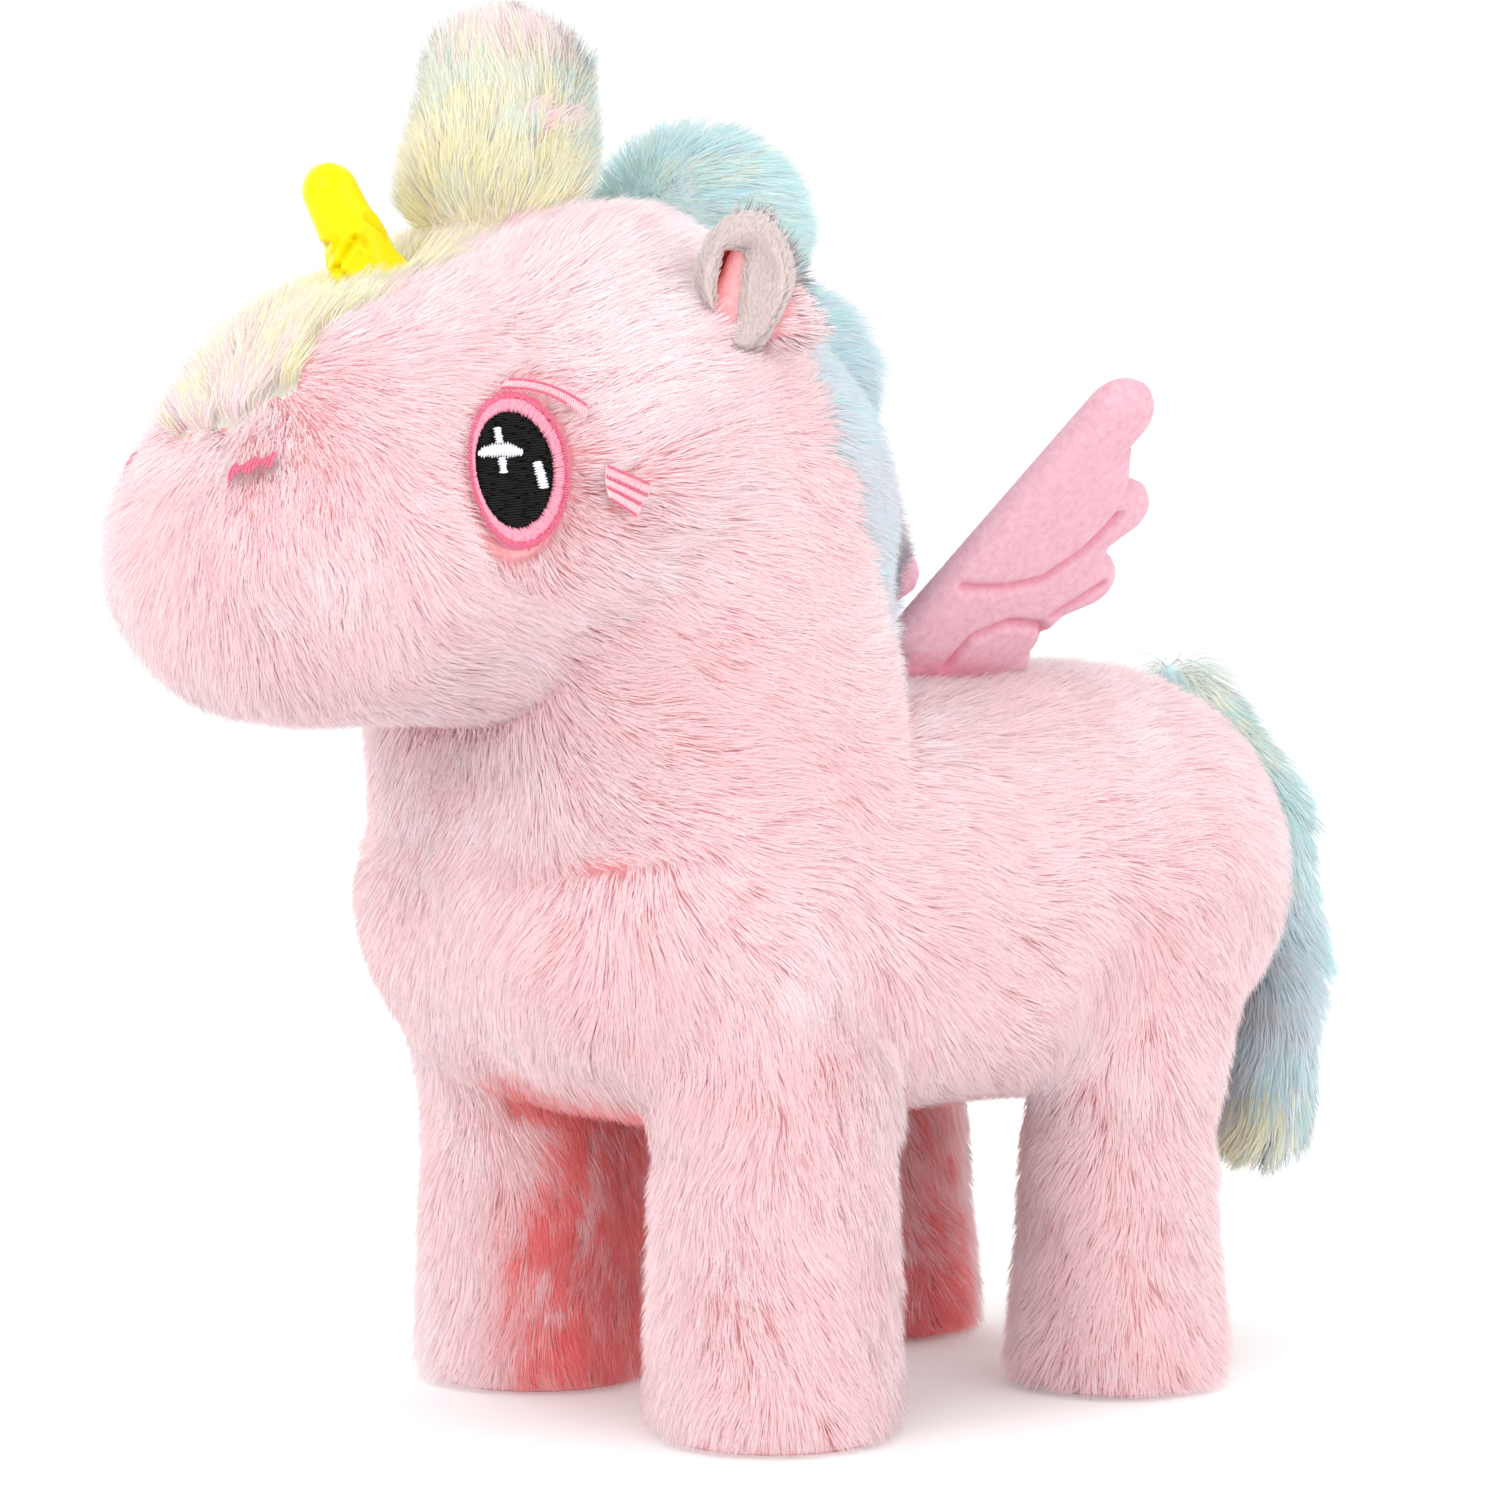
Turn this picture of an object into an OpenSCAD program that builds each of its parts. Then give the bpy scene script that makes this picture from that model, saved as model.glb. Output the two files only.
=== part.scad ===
// Plush walking unicorn: a long-pile plush toy over a plastic walking mechanism.
// Millimetres, +Z up, soles on z = 0, nose towards -Y, the toy's own left side on +X.
// Shapes are drawn about the middle of the four feet; base_frame() then moves them so that
// the origin lies under the middle of the whole toy.

/* [Torso] */
// Radius of the rounded chest and rump, at the tips of the fur
torso_r = 37.5; // [37:0.25:38]
// Chest centre, ahead of the middle of the feet (negative is forward)
chest_y = -45; // [-46:0.5:-44]
// Rump centre, behind the middle of the feet
rump_y = 46; // [45:0.5:47]
// Height of the torso's centre line
torso_z = 88; // [87.5:0.25:88.5]
// Thickness of the plush skin with its fur
fur_t = 6; // [5.5:0.25:6.5]

/* [Head] */
// Radius of the back of the skull
skull_r = 42; // [41:0.5:43]
// Skull centre, ahead of the middle of the feet
skull_y = -58; // [-59:0.5:-57]
// Skull centre, height above the floor
skull_z = 164; // [163:0.5:165]
// Radius of the muzzle
muzzle_r = 29; // [28:0.5:30]
// Muzzle centre, ahead of the middle of the feet
muzzle_y = -109; // [-110:0.5:-108]
// Forelock height above the floor
forelock_top_z = 236; // [232:0.5:238]
// Angle by which the horn leans forward
horn_tilt = 25; // [22:1:28]

/* [Legs] */
// Distance between the left and right leg centres
leg_track = 68; // [67:0.5:69]
// Distance between the front and hind leg centres
leg_base = 76; // [75:0.5:77]
// Radius of a front leg at the tips of the fur
front_leg_r = 22.5; // [21.5:0.25:22.5]
// Radius of a hind leg at the tips of the fur
hind_leg_r = 19; // [18:0.25:20]
// Height of the hip pins
hip_z = 74; // [73.5:0.25:74.5]
// Top of the padded leg columns
leg_top_z = 46; // [45:0.25:46]
// Thickness of a sole
sole_t = 3.2; // [2.8:0.1:3.4]

/* [Tail and wings] */
// Rearmost point of the tail's centre line
tail_y = 97.5; // [97:0.25:99]
// Half thickness of the tail at its fullest
tail_r = 8.5; // [8:0.25:8.5]
// Angle by which each wing leans outwards
wing_tilt = 35; // [33:1:37]
// Thickness of a padded wing
wing_t = 7; // [6:0.5:7]

/* [Mechanism] */
// Gear module
gear_m = 0.5; // [0.5:0.5:0.5]
// Teeth on each small pinion
pinion_teeth = 10; // [10:1:10]
// Teeth on each large gear
wheel_teeth = 36; // [36:1:36]
// Radius of the crank pins' path
crank_r = 6; // [5.5:0.25:6]
// Running clearance of shafts and pins, on the radius
run_c = 0.05; // [0.03:0.01:0.08]

/* [Hidden] */

$fn = 64;
soft_fn = 24; // facets of the balls that the soft forms are wrapped round
ear_fn = 20; // facets of the small balls of the ears
gap = 0.4; // room between neighbouring pieces
fixed_c = 0.02; // room round a pin that is held fast

pink = "#f6b9bd";
coral = "#e98a8c";
white_abs = "#e8e6e2";

// Origin: under the middle of the toy from nose to tail.
nose_y = muzzle_y - muzzle_r;
tail_back_y = tail_y + tail_r;
base_y = -(nose_y + tail_back_y) / 2;

// Plastic chassis.
chassis_half_w = 25;
chassis_front_y = -46;
chassis_back_y = 48;
chassis_bottom_z = 59;
chassis_top_z = 112;
wall = 2;

// Screws that join the two halves, along X: [y, z].
chassis_screw_yz = [[-41, 63.4], [41, 63.4], [12.5, 106]];

// Room beside the chassis where the leg levers swing.
bay_x = 42;
bay_y = 58;
bay_top_z = 110.5;

// Neck hinge.
neck_y = -35;
neck_z = 124;
neck_pin_r = 2;
nod_room = 4; // how far the skull's underside stays above the torso's curve
seat_z = torso_z + torso_r + nod_room;

// Hips and leg levers.
hip_pin_r = 3;
hip_boss_r = 7;
post_w = 10;
post_d = 12;
lever_z = 92;

// Gear train, in the plane across the shafts: [y, z] of each shaft.
wheel_r = gear_m * wheel_teeth / 2;
mesh_d = gear_m * (wheel_teeth + pinion_teeth) / 2;
crank_yz = [0, lever_z];
gear_b_yz = crank_yz + [-mesh_d, 0];
gear_a_turn = 135; // direction from gear b's shaft to gear a's
motor_turn = 210; // direction from gear a's shaft to the motor's
gear_a_yz = gear_b_yz + mesh_d * [cos(gear_a_turn), sin(gear_a_turn)];
motor_yz = gear_a_yz + mesh_d * [cos(motor_turn), sin(motor_turn)];
wheel_pitch = 360 / wheel_teeth;
pinion_pitch = 360 / pinion_teeth;
crank_shaft_r = 1.5;
gear_shaft_r = 1;
wheel_w = 3;
pinion_w = 4;
motor_face_x = 6.2;
motor_len = 25;
gear_a_x = 9.5;
gear_b_x = gear_a_x + wheel_w + 0.7;
crank_gear_x = gear_b_x + wheel_w + 0.7;
disc_x = chassis_half_w + 0.6;
disc_t = 2.4;
disc_r = 9;
crank_pin_r = 1.8;
crank_pin_len = 2.3;
front_lever_x = 30.8;
hind_lever_x = 33.6;
lever_t = 2.2;

// Battery box under the middle of the chassis.
box_half_w = 9.5;
box_half_l = 29;
box_bottom_z = 52.5;
box_top_z = 86;
cell_r = 7.1;
cell_len = 50;
cell_low_z = 61.6;
cell_high_z = 76.2;
door_bottom_z = 50.5;
door_front_y = -31;
door_back_y = 37;
door_screw_y = 33;

// Slide switch in the belly, ahead of the battery door.
switch_y = -39;
switch_half_w = 6;
switch_half_l = 5;
knob_x = 5;
knob_y = 4;
knob_travel = 3.6;

// Horn: t runs along its axis, from 0 where it leaves the fur.
horn_y = -95;
horn_z = 190;

// Tail hinge.
tail_shaft_z = 100;
tail_shaft_r = 2.5;

function on_circle(r, a) = [r * cos(a), r * sin(a)];

// ---------- general shapes ----------

module base_frame() {
    translate([0, base_y, 0]) children();
}

// A cylinder along X, centred on [y, z], from x0 to x1.
module rod_x(yz, x0, x1, r) {
    translate([x0, yz[0], yz[1]]) rotate([0, 90, 0]) cylinder(r = r, h = x1 - x0);
}

// A box given by its lowest and highest corners.
module block(low, high) {
    translate(low) cube(high - low);
}

// A flat outline in the Y-Z plane, given thickness from x0 to x1.
module slab_x(x0, x1) {
    translate([x0, 0, 0]) rotate([90, 0, 90]) linear_extrude(x1 - x0) children();
}

// A flat bar with round ends, from point a to point b.
module bar(a, b, r) {
    d = b - a;
    translate(a) rotate(atan2(d[1], d[0])) {
        translate([0, -r]) square([norm(d), 2 * r]);
        circle(r);
        translate([norm(d), 0]) circle(r);
    }
}

module mirror_if(flip) {
    if (flip) mirror([1, 0, 0]) children();
    else children();
}

module oval(height, width) {
    polygon([for (a = [0:10:350]) [height / 2 * cos(a), width / 2 * sin(a)]]);
}

module ball_pair(x, y, z, r) {
    for (side = [-1, 1]) translate([side * x, y, z]) sphere(r, $fn = soft_fn);
}

// Outer form of the torso; grow < 0 gives the inner side of the skin.
module torso_form(grow) {
    hull() {
        ball_pair(14, chest_y, torso_z, torso_r + grow);
        ball_pair(14, rump_y, torso_z, torso_r + grow);
        ball_pair(24, chest_y - 1, torso_z - 12, torso_r - 12 + grow);
        ball_pair(24, rump_y - 2, torso_z - 12, torso_r - 12 + grow);
    }
}

// Outer form of the head: skull, brow, muzzle and nape.
module head_form(grow) {
    hull() {
        ball_pair(8, skull_y, skull_z, skull_r + grow);
        ball_pair(5, skull_y - 42, skull_z - 1, skull_r - 15 + grow);
        ball_pair(6, muzzle_y, skull_z - 16.5, muzzle_r + grow);
        ball_pair(8, skull_y + 21, skull_z - 12, skull_r - 6 + grow);
    }
}

// Room under the head in which the torso stays when the head nods.
module nod_clearance(grow) {
    rod_x([chest_y, torso_z], -70, 70, torso_r + nod_room + grow);
    slab_x(-70, 70) polygon([
        [chest_y, 60], [chest_y, seat_z + grow], [neck_y, seat_z - 3 + grow],
        [20, seat_z + 3 + grow], [60, seat_z + 6 + grow], [60, 60]
    ]);
    block([-14.6, neck_y - 15, 60], [14.6, neck_y + 15, 134 + grow]);
}

// Moves children from the horn's own axis (+Z) to its place on the brow.
module on_horn_axis() {
    translate([0, horn_y, horn_z]) rotate([horn_tilt, 0, 0]) children();
}

// Moves a flat shape to the skin: turn is the way the skin faces from straight
// sideways towards the nose, rise is how far it faces up.
module on_skin(place, turn, rise) {
    translate(place) rotate([0, 90 - rise, -turn]) children();
}

// ---------- torso: soft parts ----------

module belly_openings(c) {
    block([-box_half_w - c, door_front_y - c, 40], [box_half_w + c, door_back_y + c, 62]);
    block([-switch_half_w - c, switch_y - switch_half_l - c, 40],
          [switch_half_w + c, switch_y + switch_half_l + c, 62]);
    for (sx = [-1, 1], sy = [-1, 1]) translate([sx * leg_track / 2, sy * leg_base / 2, 52])
        cube([post_w + 3, post_d + 10, 24], center = true);
}

module neck_opening(c) {
    block([-13 - c, neck_y - 9 - c, 100], [13 + c, neck_y + 9 + c, 140]);
}

module body_cover() {
    color(pink) base_frame() difference() {
        torso_form(0);
        torso_form(-fur_t);
        belly_openings(gap);
        neck_opening(gap);
        translate([0, rump_y, tail_shaft_z]) rotate([-90, 0, 0]) cylinder(r = 4, h = 60);
        for (flip = [false, true]) mirror_if(flip) wing_form(0.3);
    }
}

module body_padding() {
    color("#f4f1ec") base_frame() difference() {
        torso_form(-fur_t - gap);
        block([-bay_x, -bay_y, 40], [bay_x, bay_y, bay_top_z]);
        block([-chassis_half_w - gap, chassis_front_y - gap, 40],
              [chassis_half_w + gap, chassis_back_y + gap, chassis_top_z + gap]);
        neck_opening(gap);
        translate([0, rump_y, tail_shaft_z]) rotate([-90, 0, 0]) cylinder(r = 4, h = 60);
    }
}

// One wing: overlapping feathers along a rising front edge, rooted in the back.
module wing_outline() {
    bar([6, -3], [33, -4], 5);
    bar([8, 3], [28.5, 49.5], 7);
    bar([13, 4], [39.5, 30.5], 6.3);
    bar([16, 4], [44, 15.5], 5.5);
    bar([12, 3], [44, 5], 5);
    polygon([[3, 0], [22, 38], [34, 22], [40, 8], [38, -4], [6, -4]]);
}

module wing_form(grow) {
    translate([18.5, -3, 128.6]) rotate([0, wing_tilt, 0])
        slab_x(-wing_t / 2 - grow, wing_t / 2 + grow) {
            wing_outline();
            if (grow > 0) translate([0, -grow]) wing_outline();
        }
}

module wing_left() {
    color("#f3a3b4") base_frame() wing_form(0);
}

module wing_right() {
    color("#f3a3b4") base_frame() mirror([1, 0, 0]) wing_form(0);
}

// ---------- torso: plastic chassis ----------

// The left half (+X) of the moulded chassis; the right half mirrors it.
module chassis_half() {
    difference() {
        union() {
            block([0, chassis_front_y, chassis_bottom_z],
                  [chassis_half_w, chassis_back_y, chassis_top_z]);
            block([8, neck_y - 7, chassis_top_z - 1], [12, neck_y + 7, neck_z + 6]);
            for (s = [-1, 1])
                rod_x([s * leg_base / 2, hip_z], chassis_half_w - 1, chassis_half_w + 3.6, 6);
        }
        block([-1, chassis_front_y + wall, chassis_bottom_z + wall],
              [chassis_half_w - wall, chassis_back_y - wall, chassis_top_z - wall]);
        block([-1, -box_half_l - 0.3, 50], [box_half_w + 0.3, box_half_l + 0.3, 64]);
        block([-1, box_half_l - 1, 50], [6.3, door_back_y + 0.3, 64]);
        block([-1, neck_y - 7, chassis_top_z - 4], [4, neck_y + 7, chassis_top_z + 1]);
        rod_x([neck_y, neck_z], 0, 20, neck_pin_r + fixed_c);
        for (s = [-1, 1])
            rod_x([s * leg_base / 2, hip_z], 20, 32, hip_pin_r + fixed_c);
        rod_x(crank_yz, 20, 30, crank_shaft_r + run_c);
        translate([0, 40, tail_shaft_z]) rotate([-90, 0, 0])
            cylinder(r = tail_shaft_r + run_c, h = 20);
        for (p = chassis_screw_yz) rod_x(p, -1, 30, 1.6);
    }
    for (p = chassis_screw_yz) difference() {
        rod_x(p, 0, chassis_half_w - wall, 3.4);
        rod_x(p, -1, 30, 1.6);
    }
}

module chassis_left() {
    color(white_abs) base_frame() difference() {
        chassis_half();
        for (p = [gear_a_yz, gear_b_yz]) rod_x(p, 20, 24.2, gear_shaft_r);
    }
}

module chassis_right() {
    color(white_abs) base_frame() mirror([1, 0, 0]) chassis_half();
}

module chassis_screws() {
    color("silver") base_frame() for (p = chassis_screw_yz) {
        rod_x(p, -20, chassis_half_w, 1.5);
        rod_x(p, chassis_half_w, chassis_half_w + 1.6, 2.8);
    }
}

module gearbox_plate() {
    color("#dcdcd8") base_frame() difference() {
        block([motor_face_x + 0.2, -43.6, box_top_z + 0.4], [motor_face_x + 2.2, 7, 109.6]);
        rod_x(motor_yz, 0, 20, 3);
        rod_x(gear_a_yz, 0, 20, gear_shaft_r);
        rod_x(gear_b_yz, 0, 20, gear_shaft_r);
        rod_x(crank_yz, 0, 20, crank_shaft_r + run_c);
    }
}

// ---------- torso: battery box, door and switch ----------

module battery_box() {
    color("#d9d9d6") base_frame() difference() {
        union() {
            block([-box_half_w, -box_half_l, box_bottom_z], [box_half_w, box_half_l, box_top_z]);
            block([-6, box_half_l - 1, box_bottom_z], [6, door_back_y, box_bottom_z + 10]);
        }
        block([-box_half_w + wall, -box_half_l + wall, 50],
              [box_half_w - wall, box_half_l - wall, box_top_z - wall + 0.4]);
        translate([0, door_screw_y, 50]) cylinder(r = 1.4, h = 11);
    }
}

module batteries() {
    color("#4b4f57") base_frame() for (z = [cell_low_z, cell_high_z])
        translate([0, -cell_len / 2, z]) rotate([-90, 0, 0]) {
            cylinder(r = cell_r, h = cell_len - 1.2);
            translate([0, 0, cell_len - 1.3]) cylinder(r = 2.7, h = 1.3);
        }
}

module battery_contacts() {
    color("silver") base_frame() for (s = [-1, 1])
        block([-5, s * 26.2 - 0.3, cell_low_z - 4], [5, s * 26.2 + 0.3, cell_high_z + 4]);
}

module battery_door() {
    color(pink) base_frame() difference() {
        union() {
            block([-box_half_w, door_front_y, door_bottom_z],
                  [box_half_w, door_back_y, box_bottom_z - 0.1]);
            block([-box_half_w + wall + 0.2, -box_half_l + wall + 0.2, box_bottom_z - 1],
                  [box_half_w - wall - 0.2, box_half_l - wall - 0.2, box_bottom_z + 1.5]);
        }
        translate([0, door_screw_y, 49]) cylinder(r = 1.3, h = 6);
        translate([0, door_screw_y, 49]) cylinder(r = 2.7, h = 2.7);
    }
}

module battery_door_screw() {
    color("silver") base_frame() translate([0, door_screw_y, door_bottom_z + 0.1]) difference() {
        union() {
            cylinder(r = 2.5, h = 0.8);
            cylinder(r = 1.2, h = 9);
        }
        for (a = [0, 90]) rotate(a) translate([-1.6, -0.3, -1]) cube([3.2, 0.6, 1.5]);
    }
}

module switch_housing() {
    color("#3a3a3c") base_frame() translate([0, switch_y, 0]) difference() {
        block([-switch_half_w, -switch_half_l, 51], [switch_half_w, switch_half_l, 58.8]);
        block([-knob_x / 2 - 0.2, -knob_y - 0.2, 50], [knob_x / 2 + 0.2, knob_y + 0.2, 56]);
    }
}

module power_switch() {
    color("#232326") base_frame() translate([0, switch_y - knob_y, 0]) {
        block([-knob_x / 2, 0, 49.8], [knob_x / 2, knob_y, 55.6]);
        for (y = [0.5, 1.6, 2.7]) block([-knob_x / 2, y, 49.4], [knob_x / 2, y + 0.6, 50]);
    }
}

// ---------- torso: motor, gears and cranks ----------

// Outline of a spur gear with stub teeth; the first tooth points along +X.
module gear_outline(teeth) {
    pitch = 360 / teeth;
    root_r = gear_m * (teeth / 2 - 1.05);
    tip_r = gear_m * (teeth / 2 + 0.8);
    polygon([for (i = [0:teeth - 1]) each [
        on_circle(root_r, (i - 0.29) * pitch), on_circle(tip_r, (i - 0.12) * pitch),
        on_circle(tip_r, (i + 0.12) * pitch), on_circle(root_r, (i + 0.29) * pitch)
    ]]);
}

// A gear from x0 to x1 on the shaft at yz; its first tooth points at angle turn.
module gear(yz, x0, x1, teeth, turn) {
    translate([0, yz[0], yz[1]]) slab_x(x0, x1) rotate(turn) gear_outline(teeth);
}

module motor() {
    color("silver") base_frame() difference() {
        union() {
            intersection() {
                rod_x(motor_yz, motor_face_x - motor_len, motor_face_x, 10);
                translate([0, motor_yz[0], motor_yz[1]]) cube([80, 21, 15.4], center = true);
            }
            rod_x(motor_yz, motor_face_x - 1, motor_face_x + 1.5, 2.8);
        }
        rod_x(motor_yz, motor_face_x - 6, motor_face_x + 3, 1 + run_c);
    }
}

module motor_pinion() {
    color("gold") base_frame() {
        gear(motor_yz, gear_a_x - 0.5, gear_a_x - 0.5 + pinion_w, pinion_teeth, motor_turn + 180);
        rod_x(motor_yz, motor_face_x - 5, gear_a_x, 1);
    }
}

module gear_a() {
    color("white") base_frame() difference() {
        union() {
            gear(gear_a_yz, gear_a_x, gear_a_x + wheel_w, wheel_teeth,
                 motor_turn + wheel_pitch / 2);
            gear(gear_a_yz, gear_a_x + wheel_w - 0.1, gear_b_x + wheel_w + 0.2, pinion_teeth,
                 gear_a_turn + 180);
        }
        rod_x(gear_a_yz, 0, 30, gear_shaft_r + run_c);
    }
}

module gear_b() {
    color("white") base_frame() difference() {
        union() {
            gear(gear_b_yz, gear_b_x, gear_b_x + wheel_w, wheel_teeth,
                 gear_a_turn + wheel_pitch / 2);
            gear(gear_b_yz, gear_b_x + wheel_w - 0.1, crank_gear_x + wheel_w + 0.2, pinion_teeth, 0);
        }
        rod_x(gear_b_yz, 0, 30, gear_shaft_r + run_c);
    }
}

module crankshaft() {
    color("#c9c9c4") base_frame() {
        gear(crank_yz, crank_gear_x, crank_gear_x + wheel_w, wheel_teeth, 180 + wheel_pitch / 2);
        rod_x(crank_yz, -disc_x - 0.6, disc_x + 0.6, crank_shaft_r);
    }
}

// A crank disc with its pin; the shaft's end is pressed into its blind hole.
module crank_disc(phase) {
    difference() {
        rod_x(crank_yz, disc_x, disc_x + disc_t, disc_r);
        rod_x(crank_yz, disc_x - 1, disc_x + 0.6, crank_shaft_r);
    }
    rod_x(crank_yz + on_circle(crank_r, phase), disc_x + disc_t - 0.5,
          disc_x + disc_t + crank_pin_len, crank_pin_r);
}

module crank_disc_left() {
    color("#9fb6c9") base_frame() crank_disc(0);
}

module crank_disc_right() {
    color("#9fb6c9") base_frame() mirror([1, 0, 0]) crank_disc(180);
}

module gear_shafts() {
    color("silver") base_frame() for (p = [gear_a_yz, gear_b_yz])
        rod_x(p, motor_face_x + 0.2, 24.2, gear_shaft_r);
}

module hip_pins() {
    color("silver") base_frame() for (sx = [0, 1], sy = [-1, 1]) mirror_if(sx == 1) {
        rod_x([sy * leg_base / 2, hip_z], 21, 40.6, hip_pin_r);
        rod_x([sy * leg_base / 2, hip_z], 39.3, 41, 4.5);
    }
}

module neck_pin() {
    color("silver") base_frame() rod_x([neck_y, neck_z], -12, 12, neck_pin_r);
}

module speaker() {
    color("#2b2b2d") base_frame() translate([0, 32, 0]) {
        translate([0, 0, 103]) cylinder(r = 13, h = 2.5);
        translate([0, 0, 99]) cylinder(r = 7, h = 4.1);
    }
}

module circuit_board() {
    color("#2f7d4f") base_frame() {
        block([-20, 8, 73], [-18.4, 44, 97]);
        block([-18.5, 20, 80], [-15.5, 30, 90]);
    }
}

// ---------- head ----------

// Band along the top of the head that is sewn from rainbow plush.
module gusset_zone(half_w) {
    slab_x(-half_w, half_w) polygon([
        [-131, 166], [-145, 230], [15, 230], [15, 140], [-22, 160], [-60, 185], [-100, 172]
    ]);
}

module head_shell() {
    difference() {
        head_form(0);
        head_form(-fur_t);
        nod_clearance(0);
        on_horn_axis() translate([0, 0, -30]) cylinder(r = 6.4, h = 60);
    }
}

module head_cover() {
    color(pink) base_frame() difference() {
        head_shell();
        gusset_zone(11);
        for (flip = [false, true]) mirror_if(flip) {
            eye_plate(0.4, 9);
            lashes(0.4, 9);
            nostril_plate(0.4, 9);
        }
    }
}

module head_gusset() {
    color("#f8e3b8") base_frame() intersection() {
        head_shell();
        gusset_zone(10.8);
    }
}

module head_padding() {
    color("#f4f1ec") base_frame() difference() {
        head_form(-fur_t - gap);
        nod_clearance(gap);
        block([-8, neck_y - 7.5, 100], [8, neck_y + 7.5, 177]);
        block([-4.6, -92, 167.4], [4.6, -30, 174.6]);
        on_horn_axis() translate([0, 0, -28]) cylinder(r = 9.6, h = 40);
    }
}

// Skull frame: neck boss, nod lever, post, forward arm and horn socket.
module head_frame() {
    color(white_abs) base_frame() difference() {
        union() {
            rod_x([neck_y, neck_z], -7.5, 7.5, 6);
            block([-6, neck_y - 5, neck_z], [6, neck_y + 5, 176]);
            block([-3, neck_y - 3, neck_z - 18], [3, neck_y + 3, neck_z]);
            block([-4, -86, 168], [4, neck_y, 174]);
            on_horn_axis() translate([0, 0, -26]) cylinder(r = 9, h = 15.6);
        }
        rod_x([neck_y, neck_z], -20, 20, neck_pin_r + run_c);
        on_horn_axis() translate([0, 0, -16]) cylinder(r = 2.8, h = 10);
    }
}

// Horn: a hollow moulding with rounded swellings and a bulb at its tip.
module horn() {
    color("#f7e600", 0.75) base_frame() on_horn_axis() difference() {
        rotate_extrude() polygon(concat(
            [[0, -10], [7.4, -10], [7.4, -8.8], [5.6, -8.6]],
            [for (t = [-6:1:16]) [5.5 - 0.1 * (t + 6) + 0.35 * sin(t * 72), t]],
            [for (a = [0:15:90]) [3.4 * cos(a), 17.6 + 3.4 * sin(a)]]
        ));
        translate([0, 0, -11]) cylinder(r = 3, h = 14);
    }
}

module horn_ring() {
    color("white") base_frame() on_horn_axis() difference() {
        translate([0, 0, -8.4]) cylinder(r = 9, h = 1.4);
        translate([0, 0, -9]) cylinder(r = 6.1, h = 3);
    }
}

module horn_led() {
    color("#fff6c0") base_frame() on_horn_axis() {
        translate([0, 0, -15.5]) cylinder(r = 2.5, h = 14);
        translate([0, 0, -1.5]) sphere(2.5);
    }
}

module forelock() {
    color("#f3efc0") base_frame() difference() {
        hull() {
            translate([0, skull_y - 11, forelock_top_z - 30]) sphere(17, $fn = soft_fn);
            translate([0, skull_y - 9.5, forelock_top_z - 15]) sphere(15, $fn = soft_fn);
        }
        head_form(gap);
    }
}

// The three gathered puffs of the mane, from the crown to the withers: [y, z, radius].
mane_puffs = [[-28, 200, 19], [-12, 175, 18], [-3, 148, 16]];

// Distance from ball a's centre to the plane where it meets ball b.
function seam_distance(a, b) =
    let (d = norm([b[0] - a[0], b[1] - a[1]])) (d * d + a[2] * a[2] - b[2] * b[2]) / (2 * d);

// Everything that lies past the seam between ball a and ball b, seen from a.
module past_seam(a, b) {
    translate([0, a[0], a[1]]) rotate([atan2(b[1] - a[1], b[0] - a[0]), 0, 0])
        translate([-30, seam_distance(a, b) - gap / 2, -30]) cube(60);
}

// One puff of the mane, kept clear of the head and of the puffs next to it.
module mane_puff(i) {
    a = mane_puffs[i];
    difference() {
        translate([0, a[0], a[1]]) hull() sphere(a[2], $fn = 2 * soft_fn);
        if (i > 0) past_seam(a, mane_puffs[i - 1]);
        if (i < 2) past_seam(a, mane_puffs[i + 1]);
        head_form(gap);
    }
}

module mane_top() {
    color("#a9dde6") base_frame() mane_puff(0);
}

module mane_middle() {
    color("#b5dcea") base_frame() mane_puff(1);
}

module mane_lower() {
    color("#b9d3ee") base_frame() mane_puff(2);
}

// Three balls round which the ear is wrapped; offset_n moves them out of the cup.
module ear_form(r, offset_n) {
    translate([44, -51, 190]) rotate([0, 10, -37]) hull()
        for (p = [[-8.5, -7], [8.5, -7], [0, 9.5]])
            translate([offset_n, p[0], p[1]]) sphere(r, $fn = ear_fn);
}

module ear_outer_form() {
    difference() {
        ear_form(6, 0);
        ear_form(4.6, 3.4);
        head_form(gap);
    }
}

module ear_lining_form() {
    difference() {
        ear_form(4.3, 3.4);
        ear_form(3.1, 4.6);
        head_form(gap);
    }
}

module ear_left() {
    color(pink) base_frame() ear_outer_form();
}

module ear_right() {
    color(pink) base_frame() mirror([1, 0, 0]) ear_outer_form();
}

module ear_lining_left() {
    color("white") base_frame() ear_lining_form();
}

module ear_lining_right() {
    color("white") base_frame() mirror([1, 0, 0]) ear_lining_form();
}

// Embroidered oval of an eye, sunk a little into the fur.
module eye_plate(grow, reach) {
    on_skin([40.6, -93, 161.2], 19.5, 8) translate([0, 0, -2.6 - grow])
        linear_extrude(1.6 + grow + reach) oval(25 + 2 * grow, 17 + 2 * grow);
}

// Stitched lashes: two arcs over the eye and four short rows behind it.
module lashes(grow, reach) {
    on_skin([40.6, -93, 161.2], 19.5, 8) translate([0, 0, -2.6 - grow])
        for (r = [14, 16]) rotate([0, 0, 122]) rotate_extrude(angle = 58)
            translate([r - 0.4 - grow, 0]) square([0.8 + 2 * grow, 1.6 + grow + reach]);
    on_skin([45.5, -78, 158], 16, 2) for (row = [-1.5:1:1.5])
        translate([row * 2.2, 0, -1.2 - grow / 2]) linear_extrude(1.2 + grow + reach)
            bar([0, -3 - grow], [0, 3 + grow], 0.45 + grow);
}

module nostril_plate(grow, reach) {
    on_skin([19, -129.6, 162.4], 57, 38) translate([0, 0, -1.4 - grow])
        linear_extrude(1.2 + grow + reach) rotate(20) oval(3 + 2 * grow, 7 + 2 * grow);
}

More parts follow.
